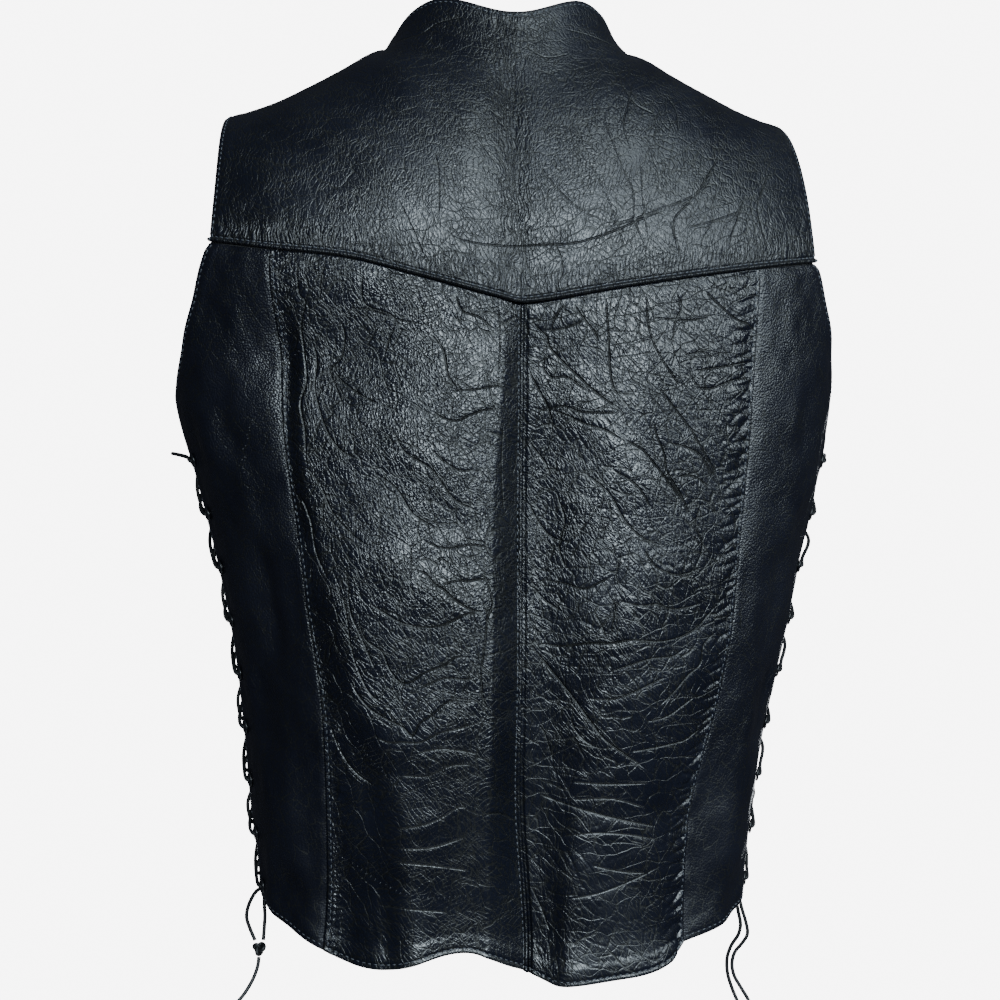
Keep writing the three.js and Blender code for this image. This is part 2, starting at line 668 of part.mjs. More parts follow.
function addCord(name, rows) {
  const points = rows.map((p) => new THREE.Vector3(...p));
  const extrudePath = new THREE.CatmullRomCurve3(points, false, 'centripetal');
  const steps = Math.ceil(extrudePath.getLength() / CORD_STEP);
  const options = { extrudePath, steps, bevelEnabled: false };
  add(name, new THREE.ExtrudeGeometry(roundSection(CORD_RADIUS, CORD_SIDES), options), BLACK_LACE);
}

function addKnot(name, knot) {
  const ball = new THREE.SphereGeometry(1, knot.around, knot.down);
  ball.scale(...knot.half);
  add(name, ball.translate(knot.x, knot.y, knot.z), BLACK_LACE);
}

function addSnaps() {
  for (let i = 0; i < SNAP_ROW.count; i += 1) {
    const z = SNAP_ROW.firstZ - i * SNAP_ROW.pitch;
    const base = bodyPoint(1, 0, z - BLADE_Z).y + FRONT_LAP.lift + WALL + SNAP.clear;
    const profile = [
      [0, 0], [SNAP.radius, 0], [SNAP.radius, SNAP.rim], [SNAP.radius * SNAP.shoulder, SNAP.rise * 0.8],
      [0, SNAP.rise],
    ].map(([x, y]) => new THREE.Vector2(x, y));
    const cap = new THREE.LatheGeometry(profile, SNAP_SIDES);
    const place = new THREE.Vector3(0, base, z);
    add(`snap_${i + 1}`, turnedTo(cap, new THREE.Vector3(0, 1, 0), place), DARK_METAL);
  }
}

addYoke();
addBackPanel(-1, 'back_panel_left');
addBackPanel(1, 'back_panel_right');
addBackSide(-1, 'back_side_left', -1);
addBackSide(1, 'back_side_right', -1);
addFront(-1, 'front_left', 1, FRONT_LAP.lift);
addFront(1, 'front_right', 1, 0);
addSnaps();
addEyelets(-1, -1, 'back_left');
addEyelets(-1, 1, 'front_left');
addEyelets(1, -1, 'back_right');
addEyelets(1, 1, 'front_right');
addLace(-1, 'lace_left', TOP_LOOP_OUT.left);
addLace(1, 'lace_right', TOP_LOOP_OUT.right);
addCord('lace_end_left_outer', LEFT_OUTER_STRAND);
addCord('lace_end_left_inner', LEFT_INNER_STRAND);
addKnot('lace_knot_left', LEFT_KNOT);
addCord('lace_tail_left', LEFT_TAIL);
addCord('lace_end_right_outer', RIGHT_OUTER_STRAND);
addCord('lace_end_right_inner', RIGHT_INNER_STRAND);

export default group;
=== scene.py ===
import math
from functools import partial

import bmesh
import bpy
import numpy as np
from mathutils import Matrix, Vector


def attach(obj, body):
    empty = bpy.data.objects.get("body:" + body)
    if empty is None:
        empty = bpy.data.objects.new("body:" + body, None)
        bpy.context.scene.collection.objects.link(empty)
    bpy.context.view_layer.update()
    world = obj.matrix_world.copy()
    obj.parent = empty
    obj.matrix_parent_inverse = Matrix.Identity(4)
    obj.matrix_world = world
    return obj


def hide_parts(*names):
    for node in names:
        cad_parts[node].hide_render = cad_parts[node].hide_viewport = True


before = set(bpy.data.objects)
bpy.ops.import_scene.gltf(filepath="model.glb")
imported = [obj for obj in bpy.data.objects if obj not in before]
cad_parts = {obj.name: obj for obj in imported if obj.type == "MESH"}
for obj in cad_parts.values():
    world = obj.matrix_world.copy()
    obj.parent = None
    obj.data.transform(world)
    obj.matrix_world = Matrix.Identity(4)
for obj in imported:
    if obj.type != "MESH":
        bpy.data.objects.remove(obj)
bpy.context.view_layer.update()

# Sizes are worked out in millimetres and put into meshes in metres
MM = 0.001

# Torso form, as in the solids: a section at each height, and a quarter oval from blade to ridge
SECTION_POWER = 2.3
BLADE_Z = -150.0
RIDGE_LEVEL = 140.0
RIDGE_SHARE = 0.9
# z, wide, back, front, shift
SECTIONS = np.array([
    [-600, 149, 100, 110, -1.5], [-525, 150, 106, 107, -1.5], [-475, 156, 110, 106, -1.5],
    [-425, 162, 114, 107, 0], [-375, 171, 117, 110, 3], [-325, 181, 119, 114, 3],
    [-275, 193, 120.5, 118, 2.5], [-225, 204, 121, 118, 0], [-150, 208, 118, 112, 0],
    [-60, 208, 118, 110, 0],
], float)
# x, z
SHOULDER_RIDGE = np.array([
    [0, 9], [40, 5], [60, 1], [80, -8], [100, -20], [120, -31], [140, -41], [160, -48], [178, -53],
    [200, -57],
], float)
SPINE = dict(depth=4.0, half_width=26.0, top=-20.0, ease=60.0)
# x, out, half width
FLUTES = np.array([[-85, 5, 26], [-31, -6, 22], [24, 6, 26], [92, 3, 24]], float)
FLUTE_TOP_Z = -440.0
HEM_Z = -575.0
SEAM_HEM_Z = -560.0

# Cut lines of the pieces
# x, z
YOKE_EDGE = np.array([
    [-190, -132], [-151, -139], [-101, -146], [-64, -156], [-15, -169], [0, -172], [60, -162], [120, -152],
    [190, -141],
], float)
# level, width
ARMHOLE_BACK = np.array([[-90, 206], [-60, 200], [-35, 191], [0, 184], [60, 183], [140, 191]], float)
ARMHOLE_FRONT = np.array([
    [-90, 205], [-60, 199], [-35, 186], [0, 175], [60, 180], [100, 186], [140, 191],
], float)
NECK_HALF_WIDTH = 72.0
NECK_BACK_REACH = 92.0
STAND_LEAN = -0.25
NECK_WIDTH = NECK_HALF_WIDTH / RIDGE_SHARE
# turn, rise
STAND = np.array([[0, 26], [34, 28], [56, 18], [71, 8], [90, 0]], float)
FRONT_DROP = (25.0, 40.0)
ARM_WIDTH = 186.0
ARM_BLADE_WIDTH = 184.0
# z, left, right
PRINCESS_SEAM = np.array([
    [-600, 123, 107], [-555, 122, 108], [-500, 120, 109], [-465, 119, 111], [-405, 119, 122],
    [-345, 127, 129], [-300, 134, 133], [-245, 144, 138], [-200, 147, 141], [-130, 148, 145],
], float)
# x, z
BACK_HEM = np.array([
    [-150, -531], [-143, -537], [-135, -547], [-118, -560], [-100, -566], [-75, -566], [-31, -557], [0, -572],
    [22, -579], [58, -575], [97, -566], [114, -549], [130, -539], [138, -531], [150, -527],
], float)
LACING_AROUND = 84.0
ARMPIT_Z = -228.0
SIDE_HEM_Z = -529.0
# level, x
V_NECK = np.array([[-90, -12], [-85, -12], [-50, 14], [0, 38], [60, 62], [115, 80]], float)
LAP_PAST = 12.0
LAP_LIFT = 2.5
LAP_FLAT = 26.0
LAP_EASE = 36.0
LAP_START = 60
# x, z
FRONT_HEM = np.array([[0, -556], [70, -552], [150, -529]], float)

# Leather, seams and thread
WALL = 2.0
SEAM_GAP = 0.3
YOKE_GAP = 0.8
STITCH_PITCH = 4.0
STITCH_LENGTH = 2.4
STITCH_START = 0.5
THREAD_RADIUS = 0.36
STITCH_INSET = 3.0

# Lacing
EYELET_ROWS = 9
EYELET_LOW_Z = -524.0
EYELET_HIGH_Z = -262.0
EYELET_INSET = 9.0
LACE_RADIUS = 1.15
CORD_RADIUS = 1.2
KNOT_RADIUS = 1.3

# Free lace ends, each from the last eyelet down
LEFT_OUTER_STRAND = [
    [-148.6, -14.5, -526], [-151.5, -9, -527.5], [-155.5, -5, -530.5], [-158.6, -2.5, -535.5],
    [-161, -0.5, -542], [-161.6, 1, -548], [-159.5, 2, -555], [-156.4, 2, -562.3],
]
LEFT_INNER_STRAND = [
    [-148.6, 14.9, -526], [-149.6, 8.5, -528.5], [-150.5, 4.5, -533.5], [-150.6, 3, -540],
    [-150.2, 2.6, -547], [-150.6, 2.3, -554], [-151.2, 2, -562.3],
]
LEFT_KNOT = np.array([-153.8, 2, -567.5])
LEFT_TAIL = [
    [-154, 2, -572.9], [-154.6, 1.5, -578], [-157.5, 0.5, -586], [-163, -1, -595], [-171, -3, -604],
    [-179, -4, -615], [-183, -3, -630], [-184, -2, -645],
]
RIGHT_OUTER_STRAND = [
    [145.6, -14.5, -526], [147.2, -9, -528.5], [148.8, -4.5, -533], [150.6, -1.5, -540], [153, 0.5, -548.5],
    [156, 2.5, -557.5], [157.4, 5, -565], [154.6, 8.5, -571.5], [150.4, 11, -577.5], [148.8, 12.5, -585],
    [150.4, 13.5, -593], [155, 14, -601], [160.5, 14, -610.5], [163.5, 13.5, -622], [164.5, 13, -636],
]
RIGHT_INNER_STRAND = [
    [145.6, 14.9, -526], [147, 9.5, -528.8], [148.2, 6, -534], [149.6, 5, -542], [151.6, 5.5, -551],
    [153.4, 7.5, -559], [152.6, 11, -566.5], [149, 14.5, -573.5], [146.6, 16.8, -582], [147, 18, -592],
    [150, 18.6, -602], [154.4, 18.6, -613], [157, 18, -625],
]

# Main creases of the two centre panels: depth, half width, then (x, z) along the crease
RIGHT_CREASES = [
    (0.9, 1.4, [(2, -179), (8, -186), (13, -191), (15, -197), (23, -206), (32, -215), (43, -225),
          (57, -235)]),
    (0.8, 1.3, [(2, -206), (5, -215), (10, -224), (15, -234), (17, -242), (17, -248)]),
    (0.8, 1.3, [(4, -232), (11, -234), (24, -232), (32, -235), (43, -236), (57, -236)]),
    (0.7, 1.3, [(13, -200), (12, -210), (16, -215), (25, -215), (32, -220), (40, -225)]),
    (0.8, 1.4, [(47, -165), (48, -180), (49, -193), (50, -210), (52, -221), (57, -229)]),
    (0.6, 1.2, [(23, -172), (20, -177), (17, -183), (16, -190)]),
    (0.6, 1.2, [(11, -188), (20, -187), (28, -185), (35, -182)]),
    (0.7, 1.3, [(28, -171), (33, -179), (40, -188), (44, -196)]),
    (0.7, 1.3, [(15, -234), (25, -237), (35, -242), (47, -246), (57, -252)]),
    (0.7, 1.3, [(2, -250), (8, -258), (13, -264), (17, -273)]),
    (0.8, 1.4, [(72, -164), (72, -180), (74, -191), (80, -204), (94, -223)]),
    (0.9, 1.4, [(77, -219), (89, -234), (98, -245), (107, -259), (117, -275)]),
    (0.9, 1.4, [(75, -239), (78, -250), (82, -259), (84, -270), (93, -285), (99, -299)]),
    (0.9, 1.5, [(57, -251), (69, -258), (77, -267), (86, -278), (96, -292)]),
    (0.7, 1.3, [(83, -253), (96, -256), (104, -260), (109, -267), (117, -278)]),
    (0.6, 1.2, [(100, -211), (119, -208), (138, -204)]),
    (0.6, 1.2, [(101, -221), (111, -221), (125, -216), (138, -214)]),
    (0.8, 1.3, [(107, -163), (115, -170), (125, -178), (138, -184)]),
    (0.6, 1.2, [(89, -164), (93, -173), (89, -182), (87, -197)]),
    (0.5, 1.2, [(73, -180), (89, -181), (100, -181), (111, -179)]),
    (0.5, 1.2, [(94, -202), (107, -200), (112, -204)]),
    (0.7, 1.3, [(89, -273), (100, -273), (111, -280)]),
    (1.1, 1.7, [(4, -371), (16, -385), (29, -401), (42, -419), (49, -428), (62, -438), (77, -449)]),
    (0.8, 1.4, [(7, -371), (25, -373), (39, -371), (51, -371), (63, -369), (80, -370), (95, -367),
          (104, -362), (112, -353), (120, -345)]),
    (0.7, 1.3, [(12, -334), (25, -336), (36, -339), (45, -335), (53, -331)]),
    (0.7, 1.3, [(56, -346), (69, -349), (78, -348), (86, -351), (98, -350), (108, -347)]),
    (0.7, 1.4, [(38, -404), (53, -404), (67, -399), (80, -393), (87, -391)]),
    (0.7, 1.3, [(49, -389), (62, -384), (75, -380), (89, -379), (97, -374)]),
    (0.9, 1.5, [(79, -410), (89, -401), (98, -391), (106, -384), (108, -373), (117, -364)]),
    (0.7, 1.3, [(73, -418), (86, -415), (97, -408), (104, -403)]),
    (0.8, 1.4, [(62, -436), (77, -434), (89, -432), (98, -430), (112, -420)]),
    (0.7, 1.4, [(28, -454), (49, -455), (65, -455), (78, -455)]),
    (0.6, 1.3, [(53, -345), (53, -355), (51, -368)]),
    (0.6, 1.2, [(6, -337), (14, -346), (25, -353)]),
    (0.5, 1.2, [(41, -352), (46, -361), (49, -369)]),
    (0.6, 1.3, [(10, -419), (14, -424), (18, -435), (20, -442)]),
    (0.6, 1.3, [(30, -416), (32, -422), (39, -430), (45, -433)]),
    (0.9, 1.6, [(10, -461), (26, -467), (45, -473), (68, -479), (85, -483)]),
    (0.6, 1.4, [(33, -465), (54, -464), (77, -471)]),
    (0.6, 1.4, [(42, -504), (59, -508), (77, -510)]),
    (0.7, 1.6, [(8, -518), (14, -530), (20, -546)]),
    (0.6, 1.4, [(22, -488), (43, -485), (63, -486), (86, -491)]),
    (0.6, 1.4, [(29, -525), (48, -521), (69, -513), (89, -504)]),
    (0.6, 1.3, [(3, -287), (10, -300), (17, -308), (30, -313)]),
    (0.7, 1.4, [(33, -269), (49, -282), (59, -299), (69, -309), (84, -315)]),
    (0.6, 1.3, [(106, -287), (102, -301), (106, -315), (100, -330)]),
    (0.7, 1.3, [(22, -287), (25, -299), (22, -315), (26, -328)]),
    (0.6, 1.3, [(51, -269), (66, -279), (75, -294)]),
    (0.6, 1.3, [(69, -315), (77, -326), (91, -331), (108, -326)]),
]
LEFT_CREASES = [
    (0.9, 1.4, [(-67, -327), (-58, -330), (-54, -335), (-48, -339), (-40, -346), (-31, -351), (-24, -352)]),
    (0.7, 1.3, [(-50, -337), (-41, -334), (-33, -334), (-26, -333), (-20, -334)]),
    (0.9, 1.5, [(-92, -346), (-82, -352), (-74, -357), (-64, -360), (-52, -360), (-43, -357), (-34, -353),
          (-26, -354)]),
    (0.9, 1.5, [(-98, -352), (-92, -368), (-83, -375), (-78, -386), (-72, -393), (-67, -393), (-58, -387),
          (-48, -383), (-40, -378), (-28, -379)]),
    (0.7, 1.3, [(-64, -398), (-56, -394), (-46, -390), (-36, -391), (-28, -390)]),
    (0.8, 1.4, [(-102, -387), (-97, -399), (-89, -409), (-79, -415), (-71, -419), (-65, -424), (-61, -417),
          (-54, -412), (-44, -404), (-31, -406)]),
    (0.8, 1.4, [(-89, -422), (-80, -428), (-71, -428), (-61, -428), (-51, -423), (-41, -420), (-28, -417)]),
    (0.6, 1.3, [(-64, -435), (-52, -432), (-43, -432), (-26, -435)]),
    (0.7, 1.4, [(-72, -448), (-56, -448), (-43, -442), (-31, -441)]),
    (0.7, 1.3, [(-23, -322), (-24, -330), (-20, -347), (-23, -357), (-24, -371), (-26, -388), (-24, -412)]),
    (0.7, 1.4, [(-102, -330), (-101, -351), (-94, -368), (-86, -387)]),
    (0.6, 1.4, [(-107, -337), (-103, -353), (-101, -368), (-97, -384), (-89, -400), (-80, -407)]),
    (0.6, 1.3, [(-55, -191), (-48, -200), (-45, -215), (-39, -224)]),
    (0.8, 1.4, [(-55, -235), (-47, -240), (-40, -241), (-33, -238), (-25, -235), (-14, -234)]),
    (0.6, 1.3, [(-45, -224), (-30, -223), (-16, -221), (-10, -223)]),
    (0.7, 1.3, [(-41, -166), (-37, -177), (-27, -181), (-19, -188)]),
    (0.6, 1.3, [(-55, -258), (-47, -265), (-38, -270), (-30, -269)]),
    (0.9, 1.5, [(-132, -147), (-130, -167), (-127, -170), (-129, -183), (-127, -200), (-126, -218),
          (-129, -230), (-127, -246), (-126, -269)]),
    (0.8, 1.4, [(-124, -189), (-120, -204), (-121, -222), (-118, -236), (-113, -249), (-105, -259),
          (-93, -264)]),
    (0.5, 1.3, [(-115, -149), (-118, -158), (-118, -169)]),
    (0.7, 1.3, [(-107, -180), (-104, -191), (-106, -204), (-112, -211), (-109, -221), (-104, -234)]),
    (0.8, 1.3, [(-111, -211), (-104, -219), (-93, -227), (-83, -232)]),
    (0.6, 1.3, [(-94, -152), (-93, -172), (-76, -181), (-79, -195), (-83, -209)]),
    (0.5, 1.3, [(-102, -175), (-90, -176), (-77, -181), (-61, -185)]),
    (0.7, 1.4, [(-23, -471), (-14, -472), (-4, -478)]),
    (0.6, 1.4, [(-79, -492), (-54, -491), (-31, -484)]),
    (0.6, 1.4, [(-77, -500), (-54, -502), (-27, -506)]),
    (0.6, 1.4, [(-77, -481), (-54, -476), (-34, -464)]),
    (0.5, 1.4, [(-84, -527), (-61, -529), (-41, -531)]),
    (0.8, 1.4, [(-130, -281), (-123, -299), (-120, -317), (-113, -334)]),
    (0.7, 1.4, [(-119, -275), (-111, -294), (-100, -307), (-89, -315)]),
    (0.7, 1.3, [(-77, -246), (-70, -259), (-55, -269), (-42, -286), (-27, -294)]),
    (0.6, 1.3, [(-89, -270), (-75, -280), (-65, -295), (-49, -305)]),
    (0.6, 1.3, [(-61, -310), (-47, -315), (-31, -313), (-21, -315)]),
    (0.6, 1.4, [(-113, -415), (-106, -434), (-96, -448), (-82, -457)]),
    (0.6, 1.4, [(-123, -357), (-120, -380), (-113, -404)]),
    (0.5, 1.4, [(-16, -170), (-15, -193), (-16, -217)]),
    (0.5, 1.4, [(-14, -240), (-15, -269), (-13, -299)]),
]
# The yoke's creases, in the same form
YOKE_CREASES = [
    (0.9, 1.2, [(-50, -124), (-42, -134), (-27, -138), (-9, -139), (10, -138), (29, -137), (49, -131),
          (65, -124), (81, -117), (95, -112)]),
    (0.6, 1.1, [(-52, -81), (-50, -99), (-50, -114), (-51, -126)]),
    (0.6, 1.1, [(-30, -66), (-23, -81), (-17, -90)]),
    (0.8, 1.2, [(48, -54), (52, -71), (58, -89), (64, -105), (65, -124), (70, -136), (74, -149)]),
    (0.7, 1.2, [(56, -20), (64, -41), (70, -51), (85, -59)]),
    (0.8, 1.1, [(86, -122), (90, -135), (95, -150)]),
    (1.1, 1.8, [(-76, -6), (-65, -5), (-54, -3), (-45, 3), (-27, 6)]),
    (1.1, 1.8, [(30, -1), (45, -3), (61, -7), (71, -9)]),
    (0.8, 1.5, [(4, -13), (17, -21), (33, -18)]),
    (0.8, 1.2, [(42, -136), (51, -127), (68, -121), (88, -113), (103, -106), (119, -93)]),
    (0.8, 1.1, [(74, -140), (72, -128), (70, -108), (70, -86)]),
    (0.9, 1.2, [(94, -149), (90, -136), (89, -122), (100, -110), (111, -95), (123, -77)]),
    (0.8, 1.1, [(126, -148), (124, -134), (129, -120), (135, -105)]),
    (0.8, 1.1, [(152, -141), (147, -130), (143, -112), (148, -99), (156, -86)]),
    (0.6, 1.1, [(95, -127), (106, -124), (121, -119), (138, -112)]),
    (0.7, 1.2, [(70, -34), (66, -49), (61, -65), (65, -83)]),
    (0.6, 1.1, [(88, -40), (95, -53), (95, -68)]),
    (0.5, 1.1, [(104, -146), (107, -132), (115, -121)]),
    (0.5, 1.1, [(18, -165), (22, -148), (18, -138)]),
    (0.6, 1.1, [(3, -80), (20, -105), (37, -120), (49, -123)]),
    (0.6, 1.1, [(38, -86), (49, -110), (56, -131), (59, -147)]),
    (0.5, 1.1, [(-74, -111), (-63, -135), (-58, -148)]),
]
# Creases of the two fronts, like those of the back: 1 is the wearer's right, -1 the left
FRONT_CREASES = {
    1: [
        (0.9, 1.3, [(170, -215), (146, -228), (118, -232), (92, -226)]),
        (0.8, 1.2, [(172, -236), (150, -252), (126, -262), (98, -264)]),
        (0.7, 1.2, [(158, -196), (132, -202), (110, -196)]),
        (0.9, 1.4, [(18, -262), (40, -270), (66, -268), (88, -258)]),
        (0.7, 1.1, [(20, -330), (44, -340), (74, -338)]),
        (0.8, 1.3, [(150, -380), (124, -392), (96, -396), (62, -390), (34, -396)]),
        (0.9, 1.4, [(146, -402), (118, -412), (84, -410), (50, -416)]),
        (0.7, 1.1, [(138, -430), (108, -438), (80, -434)]),
        (0.7, 1.1, [(60, -120), (78, -160), (90, -204)]),
        (0.7, 1.2, [(26, -470), (52, -462), (86, -468)]),
        (0.6, 1.1, [(134, -470), (112, -492), (92, -506)]),
    ],
    -1: [
        (0.9, 1.3, [(-174, -222), (-150, -240), (-122, -248), (-90, -240), (-66, -244)]),
        (0.7, 1.2, [(-166, -204), (-140, -212), (-120, -208)]),
        (0.8, 1.3, [(-24, -290), (-48, -300), (-76, -294)]),
        (0.8, 1.2, [(-22, -356), (-52, -362), (-80, -352), (-102, -356)]),
        (0.9, 1.4, [(-152, -388), (-120, -398), (-92, -390), (-58, -402)]),
        (0.8, 1.3, [(-146, -420), (-110, -424), (-70, -430), (-30, -424)]),
        (0.6, 1.1, [(-132, -446), (-96, -452), (-72, -446)]),
        (0.7, 1.1, [(-78, -96), (-86, -136), (-104, -176)]),
        (0.7, 1.2, [(-30, -492), (-62, -484), (-98, -494)]),
        (0.6, 1.1, [(-140, -486), (-120, -504), (-104, -524)]),
    ],
}
# Rows of needle holes from undone seams: (x, z) along each
NEEDLE_HOLES = [
    [(-131, -199), (-145, -216), (-155, -233), (-163, -255), (-164, -271)],
    [(-96, -362), (-84, -391), (-71, -410), (-54, -421), (-27, -431)],
    [(-99, -426), (-82, -447), (-64, -460), (-27, -468)],
    [(-99, -503), (-86, -512), (-68, -520), (-52, -522), (-28, -521)],
    [(95, -166), (117, -180), (120, -184)],
    [(22, -544), (48, -539), (62, -530), (81, -522), (91, -513)],
]

# Camera: 6 degrees to the wearer's left of the centre back, level, 1.5 m from the middle
CAMERA_TURN = math.radians(-6.0)
CAMERA_AWAY = 1.5
CAMERA_Z = -0.287
CAMERA_LENS = 85.5
CAMERA_SENSOR = 36.0
CAMERA_ASIDE = -0.0025


def put_object(name, data):
    """A new object at the origin."""
    new = bpy.data.objects.new(name, data)
    bpy.context.collection.objects.link(new)
    return new


def add_camera():
    """Camera on a circle about the origin, level, moved a little aside."""
    data = bpy.data.cameras.new("camera")
    data.lens = CAMERA_LENS
    data.sensor_width = CAMERA_SENSOR
    camera = put_object("camera", data)
    away = Vector((math.sin(CAMERA_TURN), -math.cos(CAMERA_TURN), 0)) * CAMERA_AWAY
    right = Vector((math.cos(CAMERA_TURN), math.sin(CAMERA_TURN), 0)) * CAMERA_ASIDE
    camera.location = away + right + Vector((0, 0, CAMERA_Z))
    camera.rotation_euler = (math.pi / 2, 0, CAMERA_TURN)
    bpy.context.scene.camera = camera


# Materials

def linear(code):
    """A #rrggbb colour in sRGB, turned to linear."""
    parts = [int(code[i:i + 2], 16) / 255 for i in (1, 3, 5)]
    return [c / 12.92 if c <= 0.04045 else ((c + 0.055) / 1.055) ** 2.4 for c in parts] + [1.0]


def add_node(tree, kind, inputs=None, **settings):
    """One node with its settings; each input is a value or another node's output socket."""
    new = tree.nodes.new(kind)
    for key, value in settings.items():
        setattr(new, key, value)
    for key, value in (inputs or {}).items():
        if isinstance(value, bpy.types.NodeSocket):
            tree.links.new(value, new.inputs[key])
        else:
            new.inputs[key].default_value = value
    return new


def new_material(name):
    """An empty node material, and its tree."""
    material = bpy.data.materials.new(name)
    material.use_nodes = True
    tree = material.node_tree
    tree.nodes.clear()
    return material, tree


def finish_material(tree, inputs):
    """Ends a tree in one shader with these inputs."""
    shader = add_node(tree, "ShaderNodeBsdfPrincipled", inputs)
    add_node(tree, "ShaderNodeOutputMaterial", {"Surface": shader.outputs["BSDF"]})


def blend_colours(tree, share, first, second):
    """Two linear colours mixed by a share."""
    new = add_node(tree, "ShaderNodeMix", {0: share, 6: first, 7: second}, data_type="RGBA")
    return new.outputs[2]


def times(tree, first, second):
    """Product of two values."""
    return add_node(tree, "ShaderNodeMath", {0: first, 1: second}, operation="MULTIPLY").outputs[0]


def sums(tree, *terms):
    """Sum of value times weight over (socket, weight) pairs."""
    total = None
    for socket, weight in terms:
        scaled = times(tree, socket, weight)
        if total is None:
            total = scaled
        else:
            total = add_node(tree, "ShaderNodeMath", {0: total, 1: scaled}, operation="ADD").outputs[0]
    return total


def remap(tree, value, low, high, to_low, to_high):
    """A value moved from one range to another, held at the ends, with eased ends."""
    inputs = {"Value": value, "From Min": low, "From Max": high, "To Min": to_low, "To Max": to_high}
    return add_node(tree, "ShaderNodeMapRange", inputs, interpolation_type="SMOOTHSTEP").outputs[0]


def spots(tree, scale, detail):
    """Noise through the whole piece, with so many spots to the metre."""
    place = add_node(tree, "ShaderNodeTexCoord").outputs["Object"]
    inputs = {"Vector": place, "Scale": scale, "Detail": detail}
    return add_node(tree, "ShaderNodeTexNoise", inputs).outputs["Fac"]


def bumped(tree, height, strength, depth):
    """Normal tilted by a height, whose full step is a depth in millimetres."""
    inputs = {"Height": height, "Strength": strength, "Distance": depth * MM}
    return add_node(tree, "ShaderNodeBump", inputs).outputs["Normal"]


# Sizes in the hide's grain, in millimetres
LINE_DRIFT = 15
LINE_PUSH = 9.0
LINE_HALF = 0.4
CREASE_HALF = 0.8
LINE_PATCH = (19, 7)
UPRIGHT_CELL = (16.0, 2.0)
UPRIGHT_HALF = 0.45
PORE = 0.9
PORE_DEPTH = 0.06
DYE_PATCH = 45
LINE_DULLING = 0.2


